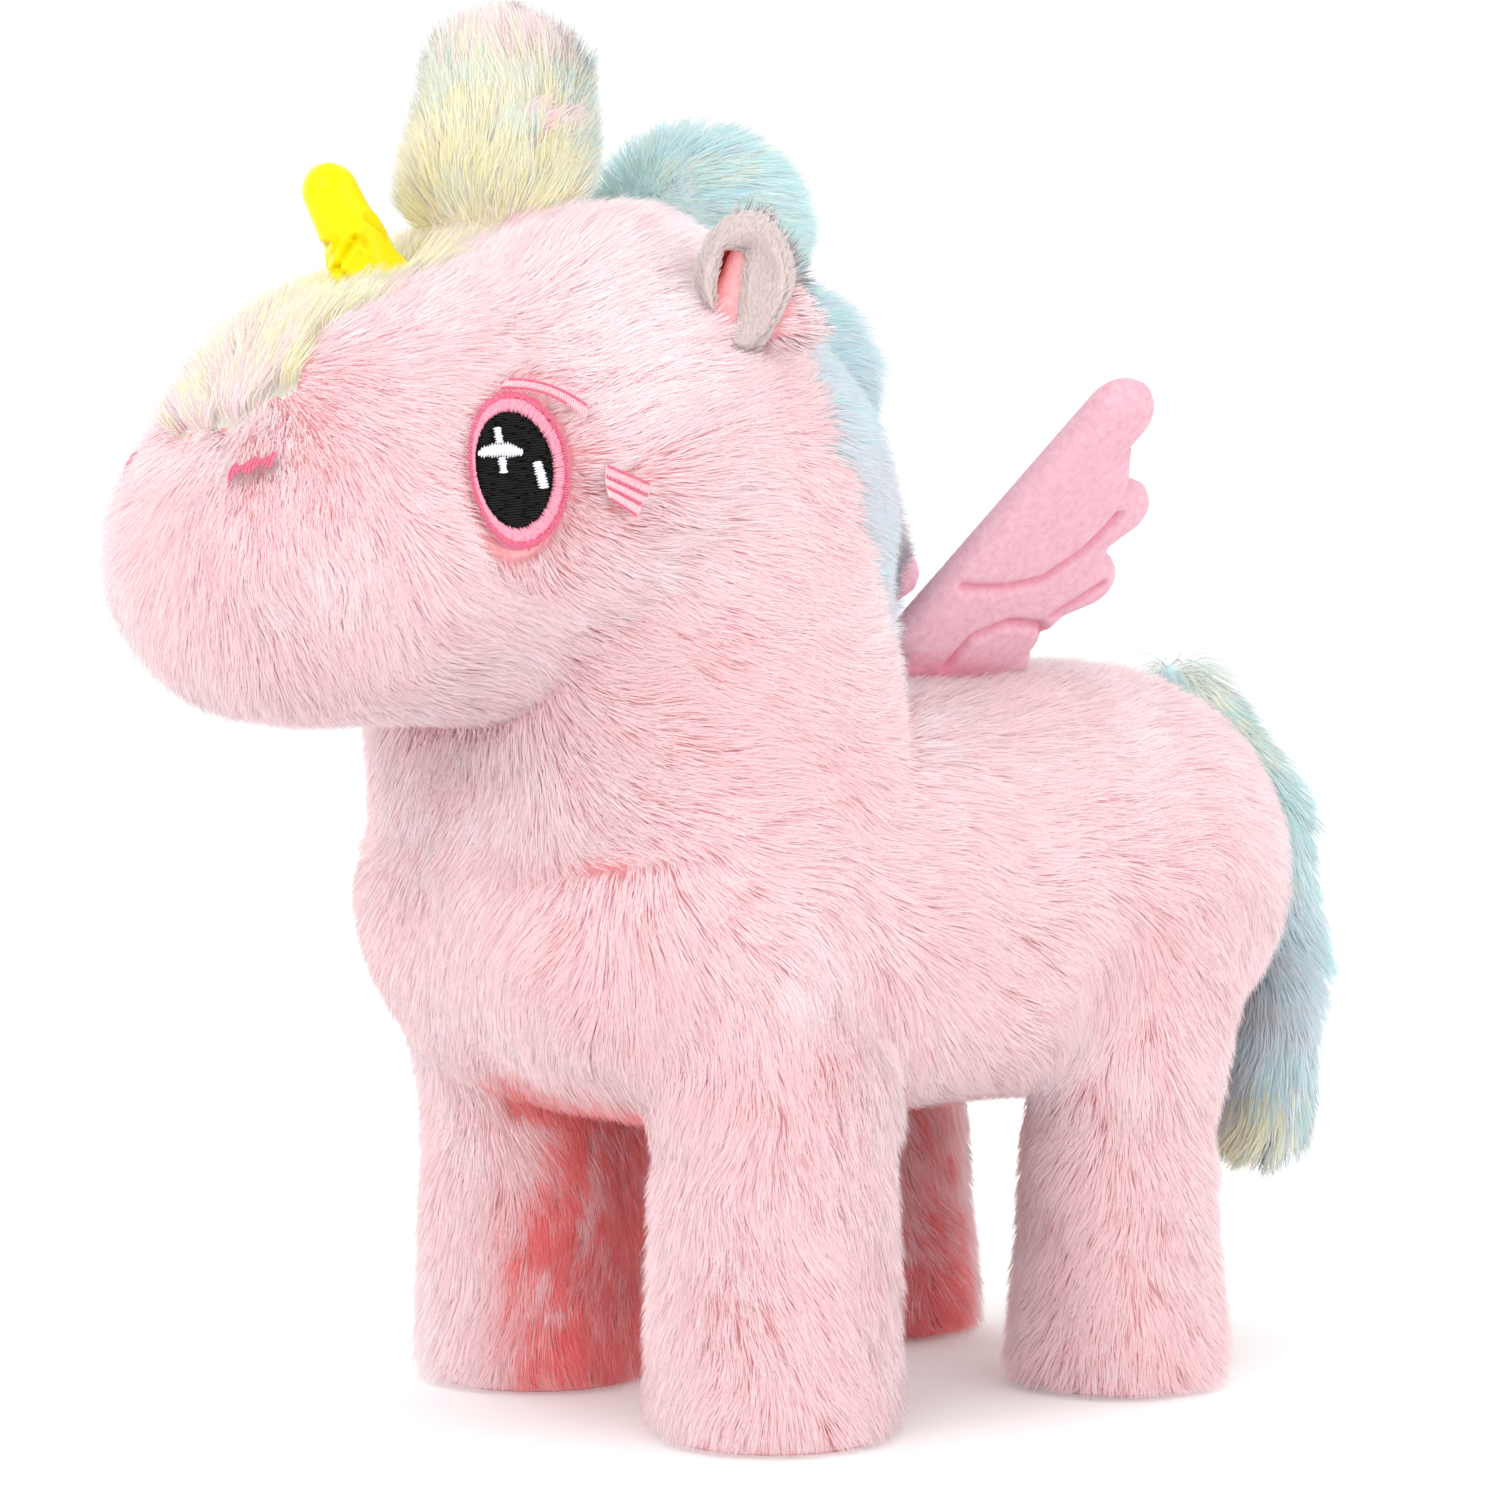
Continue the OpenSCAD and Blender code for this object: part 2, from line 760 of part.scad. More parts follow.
module eye_left() {
    color("#1d1a1c") base_frame() eye_plate(0, 0);
}

module eye_right() {
    color("#1d1a1c") base_frame() mirror([1, 0, 0]) eye_plate(0, 0);
}

module eyelashes() {
    color("#e56f95") base_frame() for (flip = [false, true]) mirror_if(flip) lashes(0, 0);
}

module nostrils() {
    color("#e56f95") base_frame() for (flip = [false, true]) mirror_if(flip) nostril_plate(0, 0);
}

// ---------- tail ----------

// Balls along the tail's centre line, from the root to the tip: [x, y, z, r].
tail_balls = [
    [0, tail_y - 17.5, 121, tail_r - 2.5], [8, tail_y - 3, 97, tail_r - 0.5],
    [10, tail_y, 68, tail_r], [6, tail_y, 42, tail_r]
];

module tail_cover() {
    color("#aadcd8") base_frame() difference() {
        for (i = [0:2]) hull() {
            for (b = [tail_balls[i], tail_balls[i + 1]]) ball_pair(b[0], b[1], b[2], b[3]);
        }
        block([-6.4, 93.4, 61.6], [6.4, 97, 103.6]);
        translate([0, 60, tail_shaft_z]) rotate([-90, 0, 0]) cylinder(r = tail_shaft_r + 0.3, h = 35);
    }
}

// Wag shaft with its drive arm inside the chassis and a flat stay inside the tail.
module tail_rod() {
    color(white_abs) base_frame() {
        translate([0, chassis_back_y - 7, tail_shaft_z]) rotate([-90, 0, 0])
            cylinder(r = tail_shaft_r, h = 95 - chassis_back_y + 7);
        block([-1.5, chassis_back_y - 7, tail_shaft_z - 12],
              [1.5, chassis_back_y - 4, tail_shaft_z]);
        block([-6, 93.8, 62], [6, 96.6, 103.2]);
    }
}

// ---------- legs ----------

// Moves children to a leg: sx is 1 on the left and -1 on the right, sy is -1 in front.
module at_leg(sx, sy) {
    translate([0, sy * leg_base / 2, 0]) mirror_if(sx < 0) children();
}

function leg_radius(sy) = sy < 0 ? front_leg_r : hind_leg_r;

// Lever that reaches from a hip to the crank, with the crank pin's slot.
module leg_lever(sy) {
    x0 = sy < 0 ? front_lever_x : hind_lever_x;
    slab_x(x0, x0 + lever_t) difference() {
        union() {
            bar([0, hip_z], [-sy * (leg_base / 2 - 8), lever_z], 3);
            translate([-sy * leg_base / 2, lever_z]) square([24, 10], center = true);
        }
        translate([-sy * leg_base / 2, lever_z]) square([17, 2 * crank_pin_r + 0.4], center = true);
        translate([0, hip_z]) circle(hip_pin_r + run_c);
    }
}

// Plastic leg: foot plate, post, hip boss and lever.
module leg_frame(sx, sy) {
    color(white_abs) base_frame() at_leg(sx, sy) {
        difference() {
            union() {
                translate([leg_track / 2, 0, sole_t]) cylinder(r = 14, h = 3);
                translate([leg_track / 2 - post_w / 2, -post_d / 2, sole_t])
                    cube([post_w, post_d, hip_z - sole_t]);
                rod_x([0, hip_z], leg_track / 2 - post_w / 2, leg_track / 2 + post_w / 2, hip_boss_r);
            }
            rod_x([0, hip_z], 0, 60, hip_pin_r + run_c);
        }
        leg_lever(sy);
    }
}

// Padded plush column round the plastic leg, rounded at its foot.
module leg_cover(sx, sy) {
    r = leg_radius(sy);
    round_r = 5;
    foot_z = 1.2;
    color(pink) base_frame() at_leg(sx, sy) translate([leg_track / 2, 0, 0]) difference() {
        rotate_extrude() polygon(concat(
            [[0, foot_z], [r - round_r, foot_z]],
            [for (a = [-75:15:0]) [r - round_r + round_r * cos(a), foot_z + round_r * (1 + sin(a))]],
            [[r - 1.5, leg_top_z - 8]],
            [for (a = [0:15:90]) [r - 4.5 + 3 * cos(a), leg_top_z - 3 + 3 * sin(a)]],
            [[0, leg_top_z]]
        ));
        translate([0, 0, -1]) cylinder(r = r - 4.6, h = 1 + sole_t + 0.3);
        cylinder(r = 14.4, h = sole_t + 3.4);
        translate([-post_w / 2 - gap, -post_d / 2 - gap, 0])
            cube([post_w + 2 * gap, post_d + 2 * gap, 60]);
    }
}

// Flat sole under a foot, with a rounded lower edge.
module sole(sx, sy) {
    r = leg_radius(sy) - 5;
    color("#e9a0a4") base_frame() at_leg(sx, sy) translate([leg_track / 2, 0, 0])
        rotate_extrude() polygon(concat(
            [[0, 0]], [for (a = [-90:15:0]) [r - 1 + cos(a), 1 + sin(a)]], [[r, sole_t], [0, sole_t]]
        ));
}

body_cover();
body_padding();
wing_left();
wing_right();
chassis_left();
chassis_right();
chassis_screws();
gearbox_plate();
battery_box();
batteries();
battery_contacts();
battery_door();
battery_door_screw();
switch_housing();
power_switch();
motor();
motor_pinion();
gear_a();
gear_b();
crankshaft();
crank_disc_left();
crank_disc_right();
gear_shafts();
hip_pins();
neck_pin();
speaker();
circuit_board();
head_cover();
head_padding();
head_gusset();
head_frame();
horn();
horn_ring();
horn_led();
forelock();
mane_top();
mane_middle();
mane_lower();
ear_left();
ear_right();
ear_lining_left();
ear_lining_right();
eye_left();
eye_right();
eyelashes();
nostrils();
tail_cover();
tail_rod();
leg_frame(1, -1);  // leg_frame_front_left
leg_frame(-1, -1);  // leg_frame_front_right
leg_frame(1, 1);  // leg_frame_hind_left
leg_frame(-1, 1);  // leg_frame_hind_right
leg_cover(1, -1);  // leg_cover_front_left
leg_cover(-1, -1);  // leg_cover_front_right
leg_cover(1, 1);  // leg_cover_hind_left
leg_cover(-1, 1);  // leg_cover_hind_right
sole(1, -1);  // sole_front_left
sole(-1, -1);  // sole_front_right
sole(1, 1);  // sole_hind_left
sole(-1, 1);  // sole_hind_right
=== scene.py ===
"""Looks of the plush walking unicorn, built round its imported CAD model.

Soft forms are worked out in millimetres about the middle of the four feet, as the design's
own sizes are, and are turned to metres in the shared frame when a piece is made.
"""
import math

import bmesh
import bpy
import numpy as np
from mathutils import Euler, Matrix, Vector
from mathutils.bvhtree import BVHTree
from mathutils.kdtree import KDTree


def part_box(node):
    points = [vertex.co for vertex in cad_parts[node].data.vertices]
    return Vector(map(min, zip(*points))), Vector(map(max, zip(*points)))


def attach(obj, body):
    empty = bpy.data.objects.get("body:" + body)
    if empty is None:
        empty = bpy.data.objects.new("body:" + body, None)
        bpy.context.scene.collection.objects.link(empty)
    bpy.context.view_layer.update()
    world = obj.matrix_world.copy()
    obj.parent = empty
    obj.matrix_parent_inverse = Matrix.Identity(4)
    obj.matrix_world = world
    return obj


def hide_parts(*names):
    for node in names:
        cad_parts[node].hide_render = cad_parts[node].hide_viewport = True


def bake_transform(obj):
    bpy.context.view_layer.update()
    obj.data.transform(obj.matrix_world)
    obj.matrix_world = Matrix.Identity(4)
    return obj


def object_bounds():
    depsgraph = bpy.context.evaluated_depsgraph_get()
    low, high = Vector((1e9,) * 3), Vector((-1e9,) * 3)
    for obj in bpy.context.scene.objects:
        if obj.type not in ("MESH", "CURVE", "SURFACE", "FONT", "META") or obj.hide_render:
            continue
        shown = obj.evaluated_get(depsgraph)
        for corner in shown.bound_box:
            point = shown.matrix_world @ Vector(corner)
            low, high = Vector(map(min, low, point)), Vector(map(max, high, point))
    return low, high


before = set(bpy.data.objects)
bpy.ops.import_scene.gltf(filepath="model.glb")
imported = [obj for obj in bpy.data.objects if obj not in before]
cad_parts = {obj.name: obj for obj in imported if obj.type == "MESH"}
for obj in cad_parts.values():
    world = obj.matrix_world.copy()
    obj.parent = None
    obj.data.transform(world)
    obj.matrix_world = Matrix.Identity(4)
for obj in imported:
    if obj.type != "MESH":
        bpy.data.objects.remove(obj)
cad_low, cad_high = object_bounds()

MM = 0.001
scene = bpy.context.scene


def middle(node):
    """Centre of a CAD node's box, in metres."""
    low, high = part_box(node)
    return (low + high) / 2


# The middle of the feet, which the design's own sizes are drawn about.
FEET_Y = (middle("sole_front_left").y + middle("sole_hind_left").y) / 2
TO_FRAME = Matrix.Translation((0, FEET_Y, 0)) @ Matrix.Scale(MM, 4)

# ---------- sizes of the soft forms, in millimetres ----------

FUR_DEPTH = 5.6  # from the woven backing to the tips of the fur
BACKING_CELL = 2.0  # size of the cells that the backing is remeshed with
FIBRES_PER_MM2 = 6.0
FIBRE_WIDTH = 0.19
SKIN_SHADING = 0.85  # how far fibres are shaded as the skin under them is
PALETTE_SPAN = 0.006  # half the width of one fibre on its colour chart
SPINDLE = [2, 1, 0, 3, 2, 0, 1, 3, 0, 1, 2, 4, 2, 3, 4, 3, 1, 4]  # a fibre's six faces

# Balls that the backing is wrapped round: x (to both sides), y, z, radius at the fur tips.
TORSO_BALLS = [(14, -45, 88, 37.5), (14, 46, 88, 37.5), (24, -46, 76, 25.5), (24, 44, 76, 25.5)]
NECK_BALLS = [(14, -43, 100, 37), (12, -46, 150, 38), (20, -34, 104, 30)]
HEAD_BALLS = [(8, -58, 164, 42), (5, -100, 163, 27), (6, -109, 147.5, 29), (8, -37, 152, 36)]
FORELOCK_BALLS = [(0, -69, 206, 17), (0, -67.5, 221, 15)]
MANE_BALLS = [(0, -28, 200, 19), (0, -12, 175, 18), (0, -3, 148, 16), (0, -3, 134, 14)]
TAIL_BALLS = [(0, 80, 121, 6), (8, 94.5, 97, 8), (10, 97.5, 68, 8.5), (6, 97.5, 42, 8.5)]
LEG_X = 34
LEG_Y = {"front": -38, "hind": 38}
LEG_R = {"front": 22.5, "hind": 19}
LEG_TOP_Z = 66
FOOT_ROUND = 3.5
FOOT_PLATE_R = 14  # of the plastic plates that the backing goes round
FOOT_PLATE_ROOM = 0.9

# Ear: its place, how it is turned, and three balls in its own axes (y, z, radius).
EAR_PLACE = (44, -51, 190)
EAR_TURN, EAR_TILT = 37, 10
EAR_BALLS = [(-6.5, -7, 6), (7, -7, 6), (1, 9.0, 6)]
EAR_FUR_DEPTH = 3.4

# Shoulder and hip: a leg's ball and the ball it is drawn up to inside the torso.
SHOULDERS = {"front": [(34, -38, 56, 22.5), (24, -44, 86, 27.5)],
             "hind": [(34, 38, 56, 19.5), (24, 45, 84, 27.5)]}

# Two heights at the neck, along a line that leans forward, and two at the hips: the head's
# skin starts at the lower neck height, and the legs' skin ends at the higher hip height.
NECK_UP = np.array([0, -0.33, 0.944])
NECK_LOW, NECK_HIGH = 115, 140
HIP_LOW_Z, HIP_HIGH_Z = 38, 60


# ---------- small helpers ----------

def srgb(text):
    """A colour such as "ffd0d4" as linear RGBA."""
    parts = [int(text[i:i + 2], 16) / 255 for i in (0, 2, 4)]
    return [c / 12.92 if c <= 0.04045 else ((c + 0.055) / 1.055) ** 2.4 for c in parts] + [1.0]


def smoothstep(value, low, high):
    """From 0 at low to 1 at high, level at both ends."""
    t = np.clip((value - low) / (high - low), 0, 1)
    return t * t * (3 - 2 * t)


def unit(v):
    return v / np.maximum(np.linalg.norm(v, axis=-1, keepdims=True), 1e-9)


def wave_noise(points, size, seed, waves=7):
    """Smooth noise of about -1 to 1 whose humps are roughly size across."""
    rng = np.random.default_rng(seed)
    directions = unit(rng.normal(size=(waves, 3))) * 2 * math.pi / size
    directions *= rng.uniform(0.5, 1.1, (waves, 1))
    phases = rng.uniform(0, 2 * math.pi, waves)
    return np.sin(points @ directions.T + phases).sum(1) / math.sqrt(waves)


def coordinates(mesh, attribute, owner="vertices"):
    """A vector attribute of a mesh's items, one row each."""
    items = getattr(mesh, owner)
    flat = np.zeros(len(items) * 3, np.float32)
    items.foreach_get(attribute, flat)
    return flat.reshape(-1, 3).astype(float)


def new_object(name, mesh, material=None):
    """An object in the scene that holds mesh."""
    piece = bpy.data.objects.new(name, mesh)
    scene.collection.objects.link(piece)
    if material:
        mesh.materials.append(material)
    return piece


def object_from_bmesh(name, bm, material=None, smooth=True):
    mesh = bpy.data.meshes.new(name)
    bm.to_mesh(mesh)
    bm.free()
    mesh.polygons.foreach_set("use_smooth", [smooth] * len(mesh.polygons))
    return new_object(name, mesh, material)


def apply_modifiers(piece):
    """Swaps a piece's mesh for the one its modifiers make."""
    evaluated = piece.evaluated_get(bpy.context.evaluated_depsgraph_get())
    mesh = bpy.data.meshes.new_from_object(evaluated)
    piece.modifiers.clear()
    old = piece.data
    piece.data = mesh
    bpy.data.meshes.remove(old)


def placed(place, *turns):
    """A matrix that turns by degrees about x, y and z and then moves to place."""
    turn = Euler([math.radians(t) for t in turns]).to_matrix().to_4x4()
    return Matrix.Translation(place) @ turn


def on_side(matrix, side):
    """A matrix made for the left side, or its mirror image where side is negative."""
    return matrix if side > 0 else Matrix.Scale(-1, 4, (1, 0, 0)) @ matrix


def both_sides(balls):
    """Each ball at +x and at -x, once where x is 0."""
    return [(side * x, y, z, r) for x, y, z, r in balls for side in ((-1, 1) if x else (1,))]


# ---------- materials ----------

def node_material(name):
    """A material with its node tree, its Principled shader, and a function that adds a node."""
    material = bpy.data.materials.new(name)
    material.use_nodes = True
    tree = material.node_tree
    shader = tree.nodes["Principled BSDF"]

    def add(kind, **inputs):
        node = tree.nodes.new("ShaderNode" + kind)
        for key, value in inputs.items():
            node.inputs[key.replace("_", " ")].default_value = value
        return node

    return material, tree, shader, add


def fill_ramp(ramp, stops):
    """Sets a ColorRamp node's stops: place and colour."""
    elements = ramp.color_ramp.elements
    while len(elements) < len(stops):
        elements.new(0.5)
    for element, (place, colour) in zip(elements, stops):
        element.position = place
        element.color = srgb(colour)


def fur_material(name, chart, painted_shade_stops):
    """Fur whose colour chart runs along u, times a painted shade along v that darkens the fibres
    towards the root, standing in for the shade deep among them.
    """
    material, tree, shader, add = node_material(name)
    uv = add("UVMap")
    uv.uv_map = "OFBake"
    parts = add("SeparateXYZ")
    hue, painted_shade_ramp = add("ValToRGB"), add("ValToRGB")
    fill_ramp(hue, chart)
    fill_ramp(painted_shade_ramp, painted_shade_stops)
    mix = add("Mix")
    mix.data_type = "RGBA"
    mix.blend_type = "MULTIPLY"
    mix.inputs["Factor"].default_value = 1
    tree.links.new(uv.outputs["UV"], parts.inputs[0])
    tree.links.new(parts.outputs[0], hue.inputs[0])
    tree.links.new(parts.outputs[1], painted_shade_ramp.inputs[0])
    tree.links.new(hue.outputs[0], mix.inputs[6])
    tree.links.new(painted_shade_ramp.outputs[0], mix.inputs[7])
    tree.links.new(mix.outputs[2], shader.inputs["Base Color"])
    shader.inputs["Roughness"].default_value = 0.8
    shader.inputs["Specular IOR Level"].default_value = 0.15
    shader.inputs["Sheen Weight"].default_value = 0.25
    shader.inputs["Sheen Roughness"].default_value = 0.5
    return material


# The pink chart's deep coral low end is painted shade, used inside the legs and under the chin;
# the last list is the painted shade along each fibre, deep coral at the root.
PINK_FUR = fur_material("pink_fur", [
    (0.02, "ff8485"), (0.14, "ffc0c2"), (0.3, "ffdadd"), (0.6, "ffe1e4"), (0.85, "ffe8eb"),
    (1.0, "fff4f6"),
], [(0.0, "ffb6bb"), (0.35, "ffe3e6"), (0.75, "fff9fa"), (1.0, "ffffff")])
# Places on the rainbow chart.
LILAC, ROSE, PEACH, YELLOW, CREAM, MINT, AQUA, BLUE, GREY = np.linspace(0.02, 0.98, 9)
# The last list is the painted shade along each fibre, greyer at the root.
RAINBOW_FUR = fur_material("rainbow_fur", [
    (LILAC, "fbe0ea"), (ROSE, "fde3e6"), (PEACH, "fff0e4"), (YELLOW, "fffbc4"), (CREAM, "fafaea"),
    (MINT, "dfeee2"), (AQUA, "c3eff3"), (BLUE, "d6e9f3"), (GREY, "dfe2ea"),
], [(0.0, "ebe3e2"), (0.35, "f7f3f2"), (0.75, "fdfcfc"), (1.0, "ffffff")])
# The last list is the painted shade along each fibre, darker at the root.
LINING_FUR = fur_material("lining_fur", [(0.0, "dccbc9"), (1.0, "eadddb")],
                          [(0.0, "f2dcd8"), (0.5, "fbf6f4"), (1.0, "ffffff")])


def backing_material(name, colour, thread):
    """Knitted backing cloth under the fur."""
    material, tree, shader, add = node_material(name)
    coords = add("TexCoord")
    wave = add("TexNoise", Scale=900.0, Detail=3.0)
    ramp = add("ValToRGB")
    fill_ramp(ramp, [(0.3, colour), (0.7, thread)])
    bump = add("Bump", Strength=0.4, Distance=0.0004)
    tree.links.new(coords.outputs["Object"], wave.inputs["Vector"])
    tree.links.new(wave.outputs[0], ramp.inputs[0])
    tree.links.new(ramp.outputs[0], shader.inputs["Base Color"])
    tree.links.new(wave.outputs[0], bump.inputs["Height"])
    tree.links.new(bump.outputs[0], shader.inputs["Normal"])
    shader.inputs["Roughness"].default_value = 0.9
    shader.inputs["Specular IOR Level"].default_value = 0.1
    return material


PINK_BACKING = backing_material("pink_backing", "f7a3a8", "fdbbbf")
RAINBOW_BACKING = backing_material("rainbow_backing", "dfe6dc", "eef0e6")
TAIL_BACKING = backing_material("tail_backing", "b7dfe4", "cfe9ee")


def grained_material(name, dark, light, scale=400.0, strength=0.15, distance=0.0002, rough=0.5,
                     rough_to=None, metallic=0.0, specular=0.5, sheen=0.0, coat=0.0):
    """Colour, roughness and fine relief from one noise, for cloth, thread, plastic or metal."""
    material, tree, shader, add = node_material(name)
    coords = add("TexCoord")
    noise = add("TexNoise", Scale=scale, Detail=4.0, Roughness=0.6)
    ramp = add("ValToRGB")
    fill_ramp(ramp, [(0.32, dark), (0.68, light)])
    level = add("MapRange")
    level.inputs["To Min"].default_value = rough
    level.inputs["To Max"].default_value = rough + 0.15 if rough_to is None else rough_to
    bump = add("Bump", Strength=strength, Distance=distance)
    tree.links.new(coords.outputs["Object"], noise.inputs["Vector"])
    tree.links.new(noise.outputs[0], ramp.inputs[0])
    tree.links.new(noise.outputs[0], level.inputs["Value"])
    tree.links.new(noise.outputs[0], bump.inputs["Height"])
    tree.links.new(ramp.outputs[0], shader.inputs["Base Color"])
    tree.links.new(level.outputs[0], shader.inputs["Roughness"])
    tree.links.new(bump.outputs[0], shader.inputs["Normal"])
    shader.inputs["Metallic"].default_value = metallic
    shader.inputs["Specular IOR Level"].default_value = specular
    shader.inputs["Sheen Weight"].default_value = sheen
    shader.inputs["Coat Weight"].default_value = coat
    return material


def thread_material(name, dark, light, sheen=0.15, specular=0.4):
    """Embroidery thread: satin, with the fine mottle of its twisted plies."""
    return grained_material(name, dark, light, scale=2200.0, strength=0.3, distance=0.0001,
                            rough=0.42, rough_to=0.6, specular=specular, sheen=sheen)


BLACK_THREAD = thread_material("black_thread", "050405", "110f10", sheen=0.0, specular=0.2)
WHITE_THREAD = thread_material("white_thread", "d5d1de", "f1eff6")
PALE_THREAD = thread_material("pale_rose_thread", "f1aab4", "fbc9cf")
ROSE_THREAD = thread_material("rose_thread", "e0809a", "f3a6b8")
DEEP_THREAD = thread_material("deep_rose_thread", "cb4f72", "df738f")


def masked_material(name, base, painted_shade_colour, attribute, scale, strength, distance, rough, sheen):
    """Short-pile cloth whose colour runs from base to painted_shade_colour as far as an attribute
    paints shade.
    """
    material, tree, shader, add = node_material(name)
    coords = add("TexCoord")
    noise = add("TexNoise", Scale=scale, Detail=5.0, Roughness=0.65)
    # The attribute read here paints shade: the painted shade colour is mixed in as far as it goes.
    mask = add("Attribute")
    mask.attribute_name = attribute
    tone = add("ValToRGB")
    fill_ramp(tone, [(0.3, base[0]), (0.7, base[1])])
    mix = add("Mix")
    mix.data_type = "RGBA"
    mix.inputs[7].default_value = srgb(painted_shade_colour)
    bump = add("Bump", Strength=strength, Distance=distance)
    tree.links.new(coords.outputs["Object"], noise.inputs["Vector"])
    tree.links.new(noise.outputs[0], tone.inputs[0])
    tree.links.new(mask.outputs["Fac"], mix.inputs["Factor"])
    tree.links.new(tone.outputs[0], mix.inputs[6])
    tree.links.new(mix.outputs[2], shader.inputs["Base Color"])
    tree.links.new(noise.outputs[0], bump.inputs["Height"])
    tree.links.new(bump.outputs[0], shader.inputs["Normal"])
    shader.inputs["Roughness"].default_value = rough
    shader.inputs["Specular IOR Level"].default_value = 0.2
    shader.inputs["Sheen Weight"].default_value = sheen
    return material


# Painted shade in deeper pink along the wing's stitched lines and where the wing meets the body.
WING_VELOUR = masked_material("wing_velour", ("d39dac", "dfb3bf"), "dc6f88", "painted_shade",
                              700.0, 0.6, 0.0004, 0.85, 0.12)
# Painted shade in deep coral in the ear's hollow.
EAR_VELOUR = masked_material("ear_velour", ("d8c2c0", "e2d0ce"), "dd564f", "painted_shade",
                             1800.0, 0.5, 0.0003, 0.85, 0.1)


def horn_material():
    """Glossy yellow vinyl with faint streaks in its colour."""
    material, tree, shader, add = node_material("horn_plastic")
    coords = add("TexCoord")
    noise = add("TexNoise", Scale=120.0, Detail=2.0)
    ramp = add("ValToRGB")
    fill_ramp(ramp, [(0.35, "efdb00"), (0.65, "e5cf00")])
    tree.links.new(coords.outputs["Object"], noise.inputs["Vector"])
    tree.links.new(noise.outputs[0], ramp.inputs[0])
    tree.links.new(ramp.outputs[0], shader.inputs["Base Color"])
    shader.inputs["Roughness"].default_value = 0.1
    shader.inputs["Specular IOR Level"].default_value = 0.15
    return material


# ---------- backing: one continuous skin, cut into pieces by region ----------

def wrap(bm, balls, inset):
    """Adds the convex form wrapped round balls, inset all round, to bm."""
    part = bmesh.new()
    for x, y, z, r in balls:
        bmesh.ops.create_icosphere(part, subdivisions=4, radius=r - inset,
                                   matrix=Matrix.Translation((x, y, z)))
    found = bmesh.ops.convex_hull(part, input=part.verts)
    spare = {e for e in found["geom_interior"] + found["geom_unused"]
             if isinstance(e, bmesh.types.BMVert)}
    bmesh.ops.delete(part, geom=list(spare), context="VERTS")
    mesh = bpy.data.meshes.new("wrapped")
    part.to_mesh(mesh)
    part.free()
    bm.from_mesh(mesh)
    bpy.data.meshes.remove(mesh)


def add_leg(bm, x, y, radius, inset):
    """Adds a padded leg column with a rounded foot to bm."""
    r = radius - inset
    foot_r = max(r, FOOT_PLATE_R + FOOT_PLATE_ROOM)
    foot_z = inset * 0.45
    profile = [(0, foot_z)]
    for a in range(-90, 1, 15):
        c, s = math.cos(math.radians(a)), math.sin(math.radians(a))
        profile.append((foot_r - FOOT_ROUND + FOOT_ROUND * c, foot_z + FOOT_ROUND * (1 + s)))
    profile += [(r - 0.6, 30), (r - 0.9, 44), (r - 0.5, LEG_TOP_Z), (0, LEG_TOP_Z)]
    verts = [bm.verts.new((x + pr, y, pz)) for pr, pz in profile]
    edges = [bm.edges.new(pair) for pair in zip(verts, verts[1:])]
    bmesh.ops.spin(bm, geom=verts + edges, cent=(x, y, 0), axis=(0, 0, 1),
                   angle=2 * math.pi, steps=48, use_merge=True)


def remeshed(name, bm, cell, smoothing):
    """Points, normals and triangles of a closed form, remeshed to even cells and smoothed."""
    bmesh.ops.remove_doubles(bm, verts=bm.verts, dist=0.01)
    bmesh.ops.recalc_face_normals(bm, faces=bm.faces)
    work = object_from_bmesh(name, bm)
    remesh = work.modifiers.new("remesh", "REMESH")
    remesh.mode = "VOXEL"
    remesh.voxel_size = cell
    soften = work.modifiers.new("soften", "SMOOTH")
    soften.factor = 0.5
    soften.iterations = smoothing
    corners = work.modifiers.new("triangles", "TRIANGULATE")
    corners.min_vertices = 4
    apply_modifiers(work)
    mesh = work.data
    faces = np.zeros(len(mesh.polygons) * 3, np.int32)
    mesh.loops.foreach_get("vertex_index", faces)
    skin = {
        "points": coordinates(mesh, "co"),
        "normals": coordinates(mesh, "vector", "vertex_normals"),
        "faces": faces.reshape(-1, 3),
    }
    bpy.data.objects.remove(work)
    return skin


def ear_matrix(side):
    """The ear's own axes: +X out of its cup, +Y backwards, +Z up."""
    return on_side(placed(EAR_PLACE, 0, EAR_TILT, -EAR_TURN), side)


def ear_balls(side):
    """An ear's balls in the toy's axes."""
    matrix = ear_matrix(side)
    return [(*(matrix @ Vector((-0.6, y, z))), r) for y, z, r in EAR_BALLS]


def body_skin():
    """The backing of the torso, neck, head, ears, crest and legs, fused into one skin."""
    bm = bmesh.new()
    wrap(bm, both_sides(TORSO_BALLS), FUR_DEPTH)
    wrap(bm, both_sides(HEAD_BALLS), FUR_DEPTH)
    wrap(bm, both_sides(NECK_BALLS), FUR_DEPTH)
    wrap(bm, FORELOCK_BALLS, FUR_DEPTH)
    for side in (-1, 1):
        wrap(bm, ear_balls(side), EAR_FUR_DEPTH)
    for ball in MANE_BALLS:
        wrap(bm, [ball], FUR_DEPTH)
    for end in ("front", "hind"):
        for side in (-1, 1):
            add_leg(bm, side * LEG_X, LEG_Y[end], LEG_R[end], FUR_DEPTH)
            wrap(bm, [(side * x, y, z, r) for x, y, z, r in SHOULDERS[end]], FUR_DEPTH)
    return remeshed("skin", bm, BACKING_CELL, 8)


# ---------- fur: fibres of real geometry ----------

def face_values(skin):
    """Centre and area of each face."""
    corners = skin["points"][skin["faces"]]
    across = np.cross(corners[:, 1] - corners[:, 0], corners[:, 2] - corners[:, 0])
    return corners.mean(1), np.linalg.norm(across, axis=1) / 2


